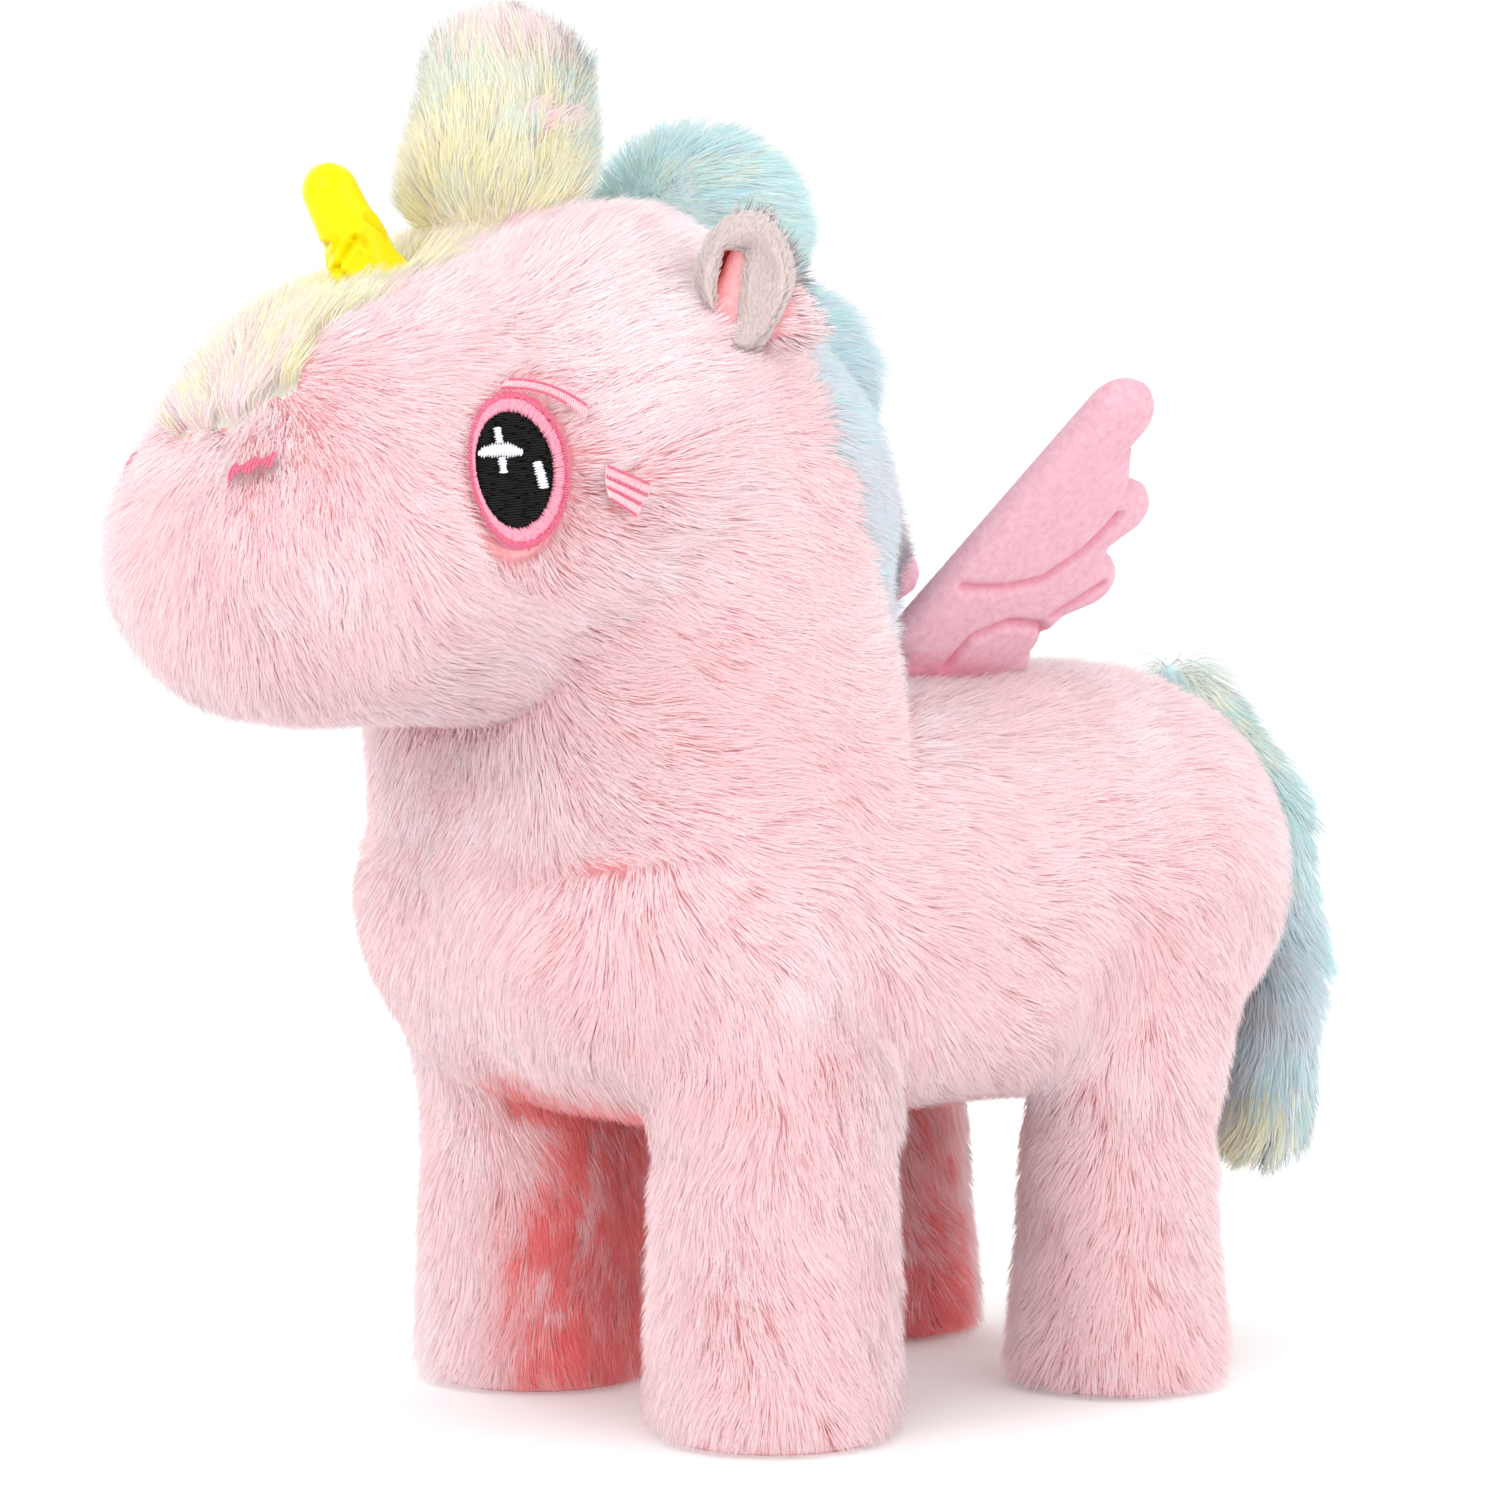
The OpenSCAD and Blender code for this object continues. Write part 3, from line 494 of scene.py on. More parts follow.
def scatter(skin, chosen, density, rng):
    """Roots spread evenly over the chosen faces: places and outward directions."""
    _, area = face_values(skin)
    area = area * chosen
    count = int(area.sum() * density)
    face = rng.choice(len(area), count, p=area / area.sum())
    a, b = rng.random((2, count))
    flip = a + b > 1
    a[flip], b[flip] = 1 - a[flip], 1 - b[flip]
    weights = np.stack([1 - a - b, a, b], 1)[:, :, None]
    corners = skin["faces"][face]
    roots = (skin["points"][corners] * weights).sum(1)
    normals = unit((skin["normals"][corners] * weights).sum(1))
    return roots, normals


def clump(roots, ends, tufts, pull, rng):
    """Draws the ends of fibres together towards the guide fibre that is nearest to each."""
    guides = rng.choice(len(roots), max(1, int(tufts)), replace=False)
    tree = KDTree(len(guides))
    for i, g in enumerate(guides):
        tree.insert(roots[g], i)
    tree.balance()
    nearest = np.array([tree.find(p)[1] for p in roots])
    guide = guides[nearest]
    aim = ends[guide] + (roots - roots[guide]) * 0.25
    amount = (pull * rng.uniform(0.5, 1.1, len(roots)))[:, None]
    return ends + (aim - ends) * amount, guide


def plush(name, skin, chosen, comb, chart_place, material, seed, trim=None, length=10.0,
          height=FUR_DEPTH, density=FIBRES_PER_MM2, width=FIBRE_WIDTH, pull=0.35,
          clump_area=8.0, swirl=0.35):
    """Fur over the chosen faces of a skin, as one mesh of fibres.

    comb gives the way the fur lies, chart_place its place on the colour chart, and trim its
    share of the full length, 0 where the skin is bare."""
    rng = np.random.default_rng(seed)
    roots, normals = scatter(skin, chosen, density, rng)
    share = np.ones(len(roots)) if trim is None else trim(roots)
    grown = share > 0.05
    roots, normals, share = roots[grown], normals[grown], share[grown]
    count = len(roots)
    flow = comb(roots, normals)
    flow = unit(flow - (flow * normals).sum(1)[:, None] * normals)
    side = np.cross(normals, flow)
    turn = swirl * (wave_noise(roots, 26, 5) + 0.5 * wave_noise(roots, 9, 6))
    turn += rng.normal(0, 0.16, count)
    flow = flow * np.cos(turn)[:, None] + side * np.sin(turn)[:, None]
    lengths = share * length * rng.uniform(0.72, 1.08, count)
    lengths *= 1 + 0.12 * wave_noise(roots, 14, 8)
    heights = share * height * rng.uniform(0.7, 1.12, count)
    lean = np.sqrt(np.maximum(lengths ** 2 - heights ** 2, 1.0))
    middles = roots + normals * (heights * 0.66)[:, None] + flow * (lean * 0.42)[:, None]
    tips = roots + normals * heights[:, None] + flow * lean[:, None]
    tips, guide = clump(roots, tips, count / (density * clump_area), pull, rng)
    middles += (tips - roots - normals * heights[:, None] - flow * lean[:, None]) * 0.45
    tips[:, 2] = np.maximum(tips[:, 2], 0.35)
    middles[:, 2] = np.maximum(middles[:, 2], 0.5)
    along = unit(tips - roots)
    face_way = unit(normals - (normals * along).sum(1)[:, None] * along)
    across = np.cross(face_way, along)
    roll = rng.uniform(-0.5, 0.5, count)[:, None]
    across = across * np.cos(roll) + face_way * np.sin(roll)
    up = np.cross(along, across)
    half = (width * rng.uniform(0.7, 1.3, count) / 2)[:, None]
    around = [middles + half * (across * math.cos(turn) + up * math.sin(turn))
              for turn in (math.pi / 2, math.pi * 7 / 6, math.pi * 11 / 6)]
    points = np.stack([roots - normals * 0.3, *around, tips], 1)
    place = chart_place(roots, rng) + 0.05 * rng.normal(size=count)
    place += 0.06 * rng.normal(size=count)[guide]
    place = np.clip(place, PALETTE_SPAN, 1 - PALETTE_SPAN)
    shading = unit(normals + (1 - SKIN_SHADING) * (face_way - normals))
    return fibre_mesh(name, points, place, shading, material)


def fibre_mesh(name, points, place, shading, material):
    """One mesh of closed fibres, from five points each: root, three half way, tip."""
    count = len(points)
    mesh = bpy.data.meshes.new(name)
    mesh.vertices.add(count * 5)
    flat = points.reshape(-1, 3) * MM + np.array([0, FEET_Y, 0])
    mesh.vertices.foreach_set("co", flat.astype(np.float32).ravel())
    loops = (np.arange(count)[:, None] * 5 + SPINDLE).ravel()
    triangles = len(loops) // 3
    mesh.loops.add(len(loops))
    mesh.loops.foreach_set("vertex_index", loops.astype(np.int32))
    mesh.polygons.add(triangles)
    mesh.polygons.foreach_set("loop_start", (np.arange(triangles) * 3).astype(np.int32))
    mesh.polygons.foreach_set("use_smooth", [True] * triangles)
    u = place[:, None] + PALETTE_SPAN * np.array([0, -1, 0, 1, 0])
    v = np.broadcast_to(np.array([0, 0.5, 0.5, 0.5, 1.0]), u.shape)
    uv = np.stack([u, v], 2)[:, SPINDLE].reshape(-1, 2)
    layer = mesh.uv_layers.new(name="OFBake")
    layer.data.foreach_set("uv", uv.astype(np.float32).ravel())
    mesh.update(calc_edges=True)
    mesh.normals_split_custom_set_from_vertices(np.repeat(shading, 5, axis=0).tolist())
    fur = new_object(name, mesh, material)
    fur.visible_shadow = False
    return fur


def backing(name, skin, chosen, material):
    """The woven backing over the chosen faces of a skin."""
    faces = skin["faces"][chosen]
    used, renumbered = np.unique(faces, return_inverse=True)
    points = skin["points"][used] * MM + np.array([0, FEET_Y, 0])
    mesh = bpy.data.meshes.new(name)
    mesh.from_pydata(points.tolist(), [], renumbered.reshape(-1, 3).tolist())
    mesh.polygons.foreach_set("use_smooth", [True] * len(mesh.polygons))
    return new_object(name, mesh, material)


# ---------- surfaces, threads and placing ----------

def surface(points, faces):
    """A skin, as the fur needs it, from points and triangles."""
    points, faces = np.asarray(points, float), np.asarray(faces, np.int32)
    corners = points[faces]
    across = np.cross(corners[:, 1] - corners[:, 0], corners[:, 2] - corners[:, 0])
    normals = np.zeros_like(points)
    for i in range(3):
        np.add.at(normals, faces[:, i], across)
    return {"points": points, "normals": unit(normals), "faces": faces}


def moved(matrix, points):
    """Points moved by a 4x4 matrix."""
    m = np.array(matrix)
    return np.asarray(points, float) @ m[:3, :3].T + m[:3, 3]


def mesh_piece(name, points, faces, material, matrix=Matrix.Identity(4), painted_shade=None):
    """A piece from points in a part's own axes, turned inside out where the matrix mirrors."""
    faces = [list(f) for f in faces]
    if matrix.determinant() < 0:
        faces = [f[::-1] for f in faces]
    points = moved(TO_FRAME, moved(matrix, points))
    mesh = bpy.data.meshes.new(name)
    mesh.from_pydata(points.tolist(), [], faces)
    mesh.polygons.foreach_set("use_smooth", [True] * len(mesh.polygons))
    # A point attribute of painted shade, for the velours.
    if painted_shade is not None:
        layer = mesh.attributes.new("painted_shade", "FLOAT", "POINT")
        layer.data.foreach_set("value", np.asarray(painted_shade, np.float32))
    return new_object(name, mesh, material)


def tubes(paths, outward, radius, sides=6):
    """Points and faces of closed threads, each along one row of paths (count, points, 3)."""
    paths = np.asarray(paths, float)
    count, steps, _ = paths.shape
    along = unit(np.gradient(paths, axis=1))
    across = unit(np.cross(along, outward))
    up = np.cross(across, along)
    ring = np.arange(sides) * 2 * math.pi / sides
    thin = np.full(steps, 1.0)
    thin[[0, -1]] = 0.35
    r = radius * thin[None, :, None, None]
    points = paths[:, :, None] + r * (across[:, :, None] * np.cos(ring)[:, None]
                                      + up[:, :, None] * np.sin(ring)[:, None])
    start = (np.arange(count) * steps * sides)[:, None, None]
    row = (np.arange(steps - 1) * sides)[None, :, None]
    a = np.arange(sides)[None, None, :]
    b = (a + 1) % sides
    quads = np.stack([start + row + a, start + row + b, start + row + sides + b,
                      start + row + sides + a], -1).reshape(-1, 4)
    first = start[:, 0] + np.arange(sides)[::-1]
    last = start[:, 0] + (steps - 1) * sides + np.arange(sides)
    return points.reshape(-1, 3), quads.tolist() + first.tolist() + last.tolist()


def skin_frame(place, turn, rise, side):
    """Axes on the skin: x to the right as it is looked at, y up, z outward."""
    swap = Matrix(((0, -1, 0, 0), (1, 0, 0, 0), (0, 0, 1, 0), (0, 0, 0, 1)))
    return on_side(placed(place, 0, 90 - rise, -turn) @ swap, side)


def draped(points, matrix, lift):
    """Points in a skin frame, each laid lift above the skin that is under it."""
    points = np.array(points, float)
    flat = points.reshape(-1, 3)
    inward = -(matrix.to_3x3() @ Vector((0, 0, 1))).normalized()
    for p in flat:
        start = matrix @ Vector((p[0], p[1], 20))
        found = SKIN_TREE.ray_cast(start, inward, 60)[3]
        if found is not None:
            p[2] += 20 - found + lift
    return points


def stitches(starts, ends, arch, steps=5):
    """Paths of satin stitches that arch from start to end: (count, steps, 3)."""
    t = np.linspace(0, 1, steps)[None, :, None]
    starts, ends = np.asarray(starts, float)[:, None], np.asarray(ends, float)[:, None]
    paths = starts + (ends - starts) * t
    paths[:, :, 2] += arch * np.sqrt(np.clip(4 * t[:, :, 0] * (1 - t[:, :, 0]), 0, 1))
    return paths


def sew(name, paths, matrix, radius, material, lift):
    """Threads along paths in a skin frame, laid on the skin, riding on the head."""
    points, faces = tubes(draped(paths, matrix, lift), np.array([0.0, 0.0, 1.0]), radius)
    piece = mesh_piece(name, points, faces, material, matrix)
    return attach(piece, "head")


def bend(piece, a, b, start, end):
    """Bakes the piece's placing into its mesh; body a, body b, start and end are not used."""
    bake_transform(piece)


# ---------- combing, trimming and colouring the fur ----------

SIDES = ((1, "left"), (-1, "right"))
NOSE_BRIDGE = np.array([0, -120, 187])
EYE_PLACE, EYE_TURN, EYE_RISE = (40.6, -93, 161.2), 19.5, 8
EYE_HALF_W, EYE_HALF_H = 8.15, 12.5
NOSTRIL_PLACE, NOSTRIL_TURN, NOSTRIL_RISE = (19, -129.6, 162.4), 57, 38
NOSTRIL_HALF_W = 3.4
HORN_PLACE, HORN_TILT = (0, -95, 190), 25
HORN_MATRIX = placed(HORN_PLACE, HORN_TILT, 0, 0)
EYE_FRAMES = {side: skin_frame(EYE_PLACE, EYE_TURN, EYE_RISE, side) for side, _ in SIDES}
EAR_FRAMES = {side: ear_matrix(side) for side, _ in SIDES}
LASH_PLACES = [((5.0, 12.6), (8.5, 2.6)), ((17.6, -3.4), (5.0, 4.8))]  # middle and half size


def inverse(matrix, points):
    """Points in the axes that matrix places."""
    return moved(matrix.inverted(), points)


def eye_distance(points, side):
    """1 on the edge of that side's eye, less inside it, 9 away from its skin; eye axes too."""
    local = inverse(EYE_FRAMES[side], points)
    ring = np.hypot(local[:, 0] / EYE_HALF_W, local[:, 1] / EYE_HALF_H)
    return np.where(np.abs(local[:, 2]) < 18, ring, 9.0), local


def comb_torso(p, n):
    """Back along the flanks, down over chest and rump, straight down towards the legs."""
    ends = smoothstep(np.abs(p[:, 1]), 45, 78)
    low = smoothstep(-n[:, 2], 0.5, 0.95)
    flow = np.zeros_like(p)
    flow[:, 1] = 0.85 * (1 - ends) + low
    flow[:, 2] = -0.45 - 0.6 * ends
    for end in ("front", "hind"):
        reach = np.hypot(np.abs(p[:, 0]) - LEG_X, p[:, 1] - LEG_Y[end])
        near = np.exp(-(reach / (LEG_R[end] + 6)) ** 4) * smoothstep(-p[:, 2], -100, -74)
        flow = flow * (1 - near[:, None]) + np.array([0, 0, -1.2]) * near[:, None]
    return flow


def comb_leg(p, n):
    return np.array([0, 0, -1]) + n * 0.15


def comb_head(p, n):
    """Out from the bridge of the nose, back over the cheeks, away from eyes and ears."""
    flow = unit(p - NOSE_BRIDGE)
    flow[:, 1] += 0.9 * smoothstep(p[:, 1], -118, -84)
    flow[:, 2] += 0.25 * smoothstep(p[:, 1], -118, -84)
    for side, _ in SIDES:
        ring, local = eye_distance(p, side)
        away = unit(p - np.array(EYE_FRAMES[side].translation))
        flow += away * (3.0 * np.exp(-((ring - 1) / 0.35) ** 2))[:, None]
        gap = p - np.array(EAR_FRAMES[side] @ Vector((2, 0, 0)))
        near = np.exp(-(np.linalg.norm(gap, axis=1) / 13) ** 4)
        flow += (unit(gap) + np.array([0, 0.3, 0.5])) * (2.2 * near)[:, None]
    return flow


def comb_crest(p, n):
    """Up the forelock, and back and down along the mane."""
    tuft = smoothstep(-p[:, 1], 48, 56) * smoothstep(p[:, 2], 190, 200)
    flow = np.zeros_like(p)
    flow[:, 2] = 1.2 * tuft - 0.35 * (1 - tuft) * smoothstep(p[:, 1], -50, -10)
    flow[:, 1] = 0.1 * tuft + 0.9 * (1 - tuft)
    flow[:, 0] = np.sign(p[:, 0]) * 0.35 * (1 - tuft)
    return flow


def comb_tail(p, n):
    flow = np.zeros_like(p)
    flow[:, 2] = -1
    flow[:, 1] = 0.1
    return flow + n * 0.1


def trim_head(p):
    """Bare under eyes, ear linings and horn, and short round them, lashes and nostrils."""
    share = np.ones(len(p))
    for side, _ in SIDES:
        ring, local = eye_distance(p, side)
        share *= np.where(ring < 1.04, 0, 0.4 + 0.6 * smoothstep(ring, 1.04, 1.6))
        for (x, y), (half_x, half_y) in LASH_PLACES:
            gap = np.hypot((local[:, 0] - x) / half_x, (local[:, 1] - y) / half_y)
            close = (gap < 1.5) & (np.abs(local[:, 2]) < 18)
            share *= np.where(close, 0.45 + 0.55 * smoothstep(gap, 0.7, 1.5), 1)
        nose = np.linalg.norm(p - np.array([side * NOSTRIL_PLACE[0], *NOSTRIL_PLACE[1:]]), axis=1)
        share *= 0.3 + 0.7 * smoothstep(nose, 3.5, 9)
        cup = inverse(EAR_FRAMES[side], p)
        height = cup[:, 2] - 0.5
        across = (cup[:, 1] + 0.5) / lining_half_w(height)
        on_cup = np.hypot(across, height / 11.2)
        grown = np.where(on_cup < 0.96, 0, 0.55 + 0.45 * smoothstep(on_cup, 0.96, 1.5))
        share *= np.where((cup[:, 0] > -1.0) & (cup[:, 0] < 12), grown, 1)
        share *= 0.75 + 0.25 * smoothstep(np.linalg.norm(cup, axis=1), 12, 17)
    horn = inverse(HORN_MATRIX, p)
    round_horn = np.hypot(horn[:, 0], horn[:, 1])
    share *= np.where(np.abs(horn[:, 2]) < 14,
                      np.where(round_horn < 5.6, 0, 0.6 + 0.4 * smoothstep(round_horn, 5.6, 9)), 1)
    return share


def on_belly_opening(p, room=0.0):
    """Whether a point lies in the openings round the battery door and the switch."""
    door = (np.abs(p[:, 0]) < 10.4 + room) & (p[:, 1] > -32 - room) & (p[:, 1] < 38 + room)
    switch = (np.abs(p[:, 0]) < 6.4 + room) & (p[:, 1] > -44.4 - room) & (p[:, 1] < -33)
    return (door | switch) & (p[:, 2] < 62)


def trim_torso(p):
    return np.where(on_belly_opening(p, 0.4), 0.0, 1.0)


def pink_place(p, rng):
    """Place on the pink chart: mottled, paler towards the top of the head, and deep coral inside
    the legs and under the chin as painted shade.
    """
    place = 0.64 + 0.13 * wave_noise(p, 30, 11) + 0.08 * wave_noise(p, 8, 12)
    place = np.clip(place, 0.44, 0.95)
    # Painted shade: deep coral between the legs and under the chin.
    inner_leg_shade = smoothstep(-np.abs(p[:, 0]), -30, -19) * smoothstep(-p[:, 2], -72, -58)
    chin_shade = np.exp(-np.linalg.norm((p - (0, -84, 128)) / (26, 14, 12), axis=1) ** 2)
    place += 0.3 * smoothstep(p[:, 2], 150, 185) - 0.2 * chin_shade
    return place * (1 - inner_leg_shade) + 0.03 * inner_leg_shade


def dyed(p, rng, soft, default, *zones):
    """Places on the rainbow chart: each zone is a test of softened points and a place."""
    q = p + rng.normal(0, soft, p.shape)
    place = np.broadcast_to(default, len(p))
    for test, value in zones:
        place = np.where(test(q), value, place)
    return place


def crest_place(p, rng):
    """Rainbow dye of the nose band, forelock and mane."""
    return dyed(
        p, rng, 2.4, np.where(p[:, 1] > -60, MINT, PEACH),
        (lambda q: q[:, 1] < -125, LILAC),
        (lambda q: (q[:, 1] > -113) & (q[:, 1] < -84), YELLOW),
        (lambda q: (q[:, 1] < -47) & (q[:, 1] > -90) & (q[:, 2] > 196), CREAM),
        (lambda q: (q[:, 1] < -66) & (q[:, 1] > -90) & (q[:, 2] > 196) & (q[:, 2] < 214), YELLOW),
        (lambda q: (q[:, 1] > -62) & (q[:, 2] > 196), MINT),
        (lambda q: (q[:, 1] < -47) & (q[:, 2] > 224), ROSE),
        (lambda q: (q[:, 1] > -50) & (q[:, 2] < 217), AQUA),
        (lambda q: (q[:, 1] > -42) & (q[:, 2] < 190), BLUE),
        (lambda q: (q[:, 1] > -42) & (q[:, 2] < 166), GREY),
    )


def tail_place(p, rng):
    """Rainbow dye of the tail, from its top down."""
    return dyed(
        p, rng, 3.0, BLUE,
        (lambda q: q[:, 2] > 88, AQUA),
        (lambda q: q[:, 2] > 108, MINT),
        (lambda q: (q[:, 2] < 48) & (q[:, 1] < 99), CREAM),
        (lambda q: q[:, 2] < 38, YELLOW),
    )


# ---------- the skin and its regions ----------

skin = body_skin()
SKIN_TREE = BVHTree.FromPolygons(skin["points"].tolist(), skin["faces"].tolist())
centres = face_values(skin)[0]
neck_place = centres @ NECK_UP
leg_faces = {}
for end in ("front", "hind"):
    for side, word in SIDES:
        reach = np.hypot(centres[:, 0] - side * LEG_X, centres[:, 1] - LEG_Y[end])
        leg_faces[f"{end}_{word}"] = (reach < LEG_R[end] + 2) & (centres[:, 2] < HIP_HIGH_Z)
legs = np.any(list(leg_faces.values()), axis=0)


def close_to(balls, room):
    """Faces within room of the inset balls of a form."""
    found = np.zeros(len(centres), bool)
    for x, y, z, r in balls:
        found |= np.linalg.norm(centres - (x, y, z), axis=1) < r - FUR_DEPTH + room
    return found


# Where the crest starts: a wavy band up the nose, forelock and mane, and the nape behind.
ragged = centres + 1.6 * np.stack([wave_noise(centres, 5, i) for i in (51, 52, 53)], 1)
band_half_w = 8.5 + 2.5 * smoothstep(-ragged[:, 1], 80, 120)
band = (np.abs(ragged[:, 0]) < band_half_w) & (ragged[:, 2] > 165) & (ragged[:, 1] < -40)
crest = band | close_to(FORELOCK_BALLS, 1.5) | close_to(MANE_BALLS, 1.0)
nape_edge = np.interp(ragged[:, 2], (125, 165, 200), (-16, -35, -39))
crest |= (ragged[:, 1] > nape_edge) & (ragged[:, 2] < 205)
crest &= ragged[:, 2] >= 124
head = (neck_place >= NECK_LOW) & ~legs & ~crest
torso = ~head & ~legs & ~crest
NECK_START = NECK_UP * NECK_LOW
NECK_END = NECK_UP * NECK_HIGH


# ---------- torso, head, crest and legs ----------

def halves(edge):
    """Left and right, each ahead of and behind edge, as names and face masks."""
    for side, word in SIDES:
        for end, mask in (("fore", centres[:, 1] < edge), ("rear", centres[:, 1] >= edge)):
            yield f"{end}_{word}", mask & (centres[:, 0] * side > 0)


def add_torso():
    cloth = backing("torso_backing", skin, torso & ~on_belly_opening(centres), PINK_BACKING)
    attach(cloth, "torso")
    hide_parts("body_cover")
    for i, (word, chosen) in enumerate(halves(0)):
        fur = plush(f"torso_fur_{word}", skin, torso & chosen, comb_torso, pink_place,
                    PINK_FUR, 20 + i, trim=trim_torso)
        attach(fur, "torso")


HEAD_FUR = {
    "fore": {"length": 9.0, "height": 5.0, "density": 7.5, "width": 0.17, "pull": 0.15,
             "clump_area": 5.0},
    "rear": {"length": 9.5, "height": 5.3, "pull": 0.25},
}


def add_head():
    cloth = backing("head_backing", skin, head, PINK_BACKING)
    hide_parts("head_cover", "ear_left", "ear_right")
    bend(cloth, "torso", "head", NECK_START, NECK_END)
    for i, (word, chosen) in enumerate(halves(-78)):
        fur = plush(f"head_fur_{word}", skin, head & chosen, comb_head, pink_place,
                    PINK_FUR, 30 + i, trim=trim_head, **HEAD_FUR[word[:4]])
        bend(fur, "torso", "head", NECK_START, NECK_END)


def add_crest():
    """Nose band, forelock and mane, on a backing of their own."""
    cloth = backing("crest_backing", skin, crest, RAINBOW_BACKING)
    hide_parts("head_gusset", "forelock", "mane_top", "mane_middle", "mane_lower")
    bend(cloth, "torso", "head", NECK_START, NECK_END)
    for i, (word, chosen) in enumerate((("forelock_fur", centres[:, 1] < -48),
                                        ("mane_fur", centres[:, 1] >= -48))):
        fur = plush(word, skin, crest & chosen, comb_crest, crest_place, RAINBOW_FUR, 40 + i,
                    trim=trim_head, length=10, height=6.6)
        bend(fur, "torso", "head", NECK_START, NECK_END)


def add_legs():
    """Leg by leg, a backing tube and its fur."""
    for i, (leg, chosen) in enumerate(leg_faces.items()):
        end, word = leg.split("_")
        x = LEG_X if word == "left" else -LEG_X
        joint_ends = ((x, LEG_Y[end], HIP_HIGH_Z), (x, LEG_Y[end], HIP_LOW_Z))
        cloth = backing(f"leg_{leg}_backing", skin, chosen, PINK_BACKING)
        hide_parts(f"leg_cover_{leg}")
        bend(cloth, "torso", f"leg_{leg}", *joint_ends)
        fur = plush(f"leg_{leg}_fur", skin, chosen, comb_leg, pink_place, PINK_FUR, 50 + i,
                    trim=trim_torso)
        bend(fur, "torso", f"leg_{leg}", *joint_ends)


# ---------- tail ----------

TAIL_INSET = 3.6  # of its backing in its balls


def add_tail():
    bm = bmesh.new()
    for first, second in zip(TAIL_BALLS, TAIL_BALLS[1:]):
        wrap(bm, both_sides([first, second]), TAIL_INSET)
    tail_skin = remeshed("tail_skin", bm, 1.5, 6)
    every = np.ones(len(tail_skin["faces"]), bool)
    cloth = backing("tail_backing", tail_skin, every, TAIL_BACKING)
    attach(cloth, "tail")
    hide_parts("tail_cover")
    fur = plush("tail_fur", tail_skin, every, comb_tail, tail_place, RAINBOW_FUR, 60,
                length=12, height=6.6)
    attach(fur, "tail")


# ---------- ears ----------

def lining_half_w(z):
    """Half the width of the ear's lining at height z."""
    return 7.7 * (0.66 + 0.34 * smoothstep(z, -11, 3))


def ear_bowl():
    """The ear's lining in the ear's own axes, as points, faces and the painted shade of each
    point, full deep in its hollow.

    A rounded leaf with a rolled rim, hollow nearer its front edge."""
    rings, spokes = 22, 56
    points, painted_shade = [], []
    for i in range(rings + 1):
        for j in range(spokes):
            rho, a = max(i / rings, 0.001), 2 * math.pi * j / spokes
            z = 11.2 * math.sin(a) * rho
            y = math.cos(a) * rho * float(lining_half_w(z))
            rim = 1.1 * math.exp(-((rho - 0.8) / 0.2) ** 2)
            slit_y = -2.6 - 0.10 * (3 - z)
            along = float(smoothstep(z, -10.5, -4.5)) * (1 - float(smoothstep(z, 4.5, 6.5)))
            left_wall = float(smoothstep(y, slit_y - 2.2, slit_y - 0.9))
            right_slope = 1 - float(smoothstep(y, slit_y + 0.2, slit_y + 4.0))
            hollow = along * left_wall * right_slope
            edge = -3.2 * max(0.0, (rho - 0.86) / 0.14) ** 1.5
            points.append((3.4 + rim + edge - 5.5 * hollow, y - 0.5, z + 0.5))
            # Painted shade in the ear's hollow, full where it is deepest.
            deep = float(smoothstep(hollow, 0.25, 0.85))
            painted_shade.append(deep)
    faces = []
    for i in range(rings):
        for j in range(spokes):
            a, b = i * spokes + j, i * spokes + (j + 1) % spokes
            faces += [(a, a + spokes, b + spokes), (a, b + spokes, b)]
    return np.array(points), faces, painted_shade


def comb_lining(p, n):
    return np.array([0.3, 0.2, 1.0]) + n * 0.2


def add_ears():
    points, faces, painted_shade = ear_bowl()
    for side, word in SIDES:
        lining = mesh_piece(f"ear_lining_velour_{word}", points, faces, EAR_VELOUR,
                            EAR_FRAMES[side], painted_shade)
        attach(lining, "head")
        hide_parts(f"ear_lining_{word}")
        turned = [f[::-1] for f in faces] if side < 0 else faces
        pile_skin = surface(moved(EAR_FRAMES[side], points), turned)
        rim = np.array(painted_shade)[pile_skin["faces"]].max(1) < 0.15
        pile = plush(f"ear_lining_pile_{word}", pile_skin, rim, comb_lining,
                     lambda p, rng: np.full(len(p), 0.9), LINING_FUR, 70 + side,
                     length=1.7, height=0.8, density=11, width=0.14, pull=0.2, clump_area=4)
        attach(pile, "head")


# ---------- eyes, lashes and nostrils ----------

EYE_LIFT = 4.2  # how far the stitched surface lies above the backing
LASH_LIFT = 4.3
PUPIL_X = -0.9
PUPIL_HALF_W, PUPIL_HALF_H = 6.25, 9.2
EYE_LEAN = math.radians(4.7)


def lean(points):
    """Turns an eye's points so that its top leans towards the nose."""
    points = np.array(points, float)
    c, s = math.cos(EYE_LEAN), math.sin(EYE_LEAN)
    x, y = points[..., 0].copy(), points[..., 1].copy()
    points[..., 0], points[..., 1] = x * c - y * s, x * s + y * c
    return points


def oval_pad(half_w, half_h, x, crown, thick):
    """A closed oval pad with a slightly crowned top."""
    rings, spokes = 10, 48
    a = np.arange(spokes) * 2 * math.pi / spokes
    points = [(x + half_w * r * c, half_h * r * s, crown * (1 - r * r))
              for r in np.linspace(0.02, 1, rings) for c, s in zip(np.cos(a), np.sin(a))]
    points += [(x + half_w * c, half_h * s, -thick) for c, s in zip(np.cos(a), np.sin(a))]
    faces = []
    for i in range(rings):
        for j in range(spokes):
            k = (j + 1) % spokes
            faces.append((i * spokes + j, (i + 1) * spokes + j, (i + 1) * spokes + k,
                          i * spokes + k))
    faces.append(tuple(range(spokes)))
    faces.append(tuple(range(rings * spokes, (rings + 1) * spokes))[::-1])
    return lean(points), faces


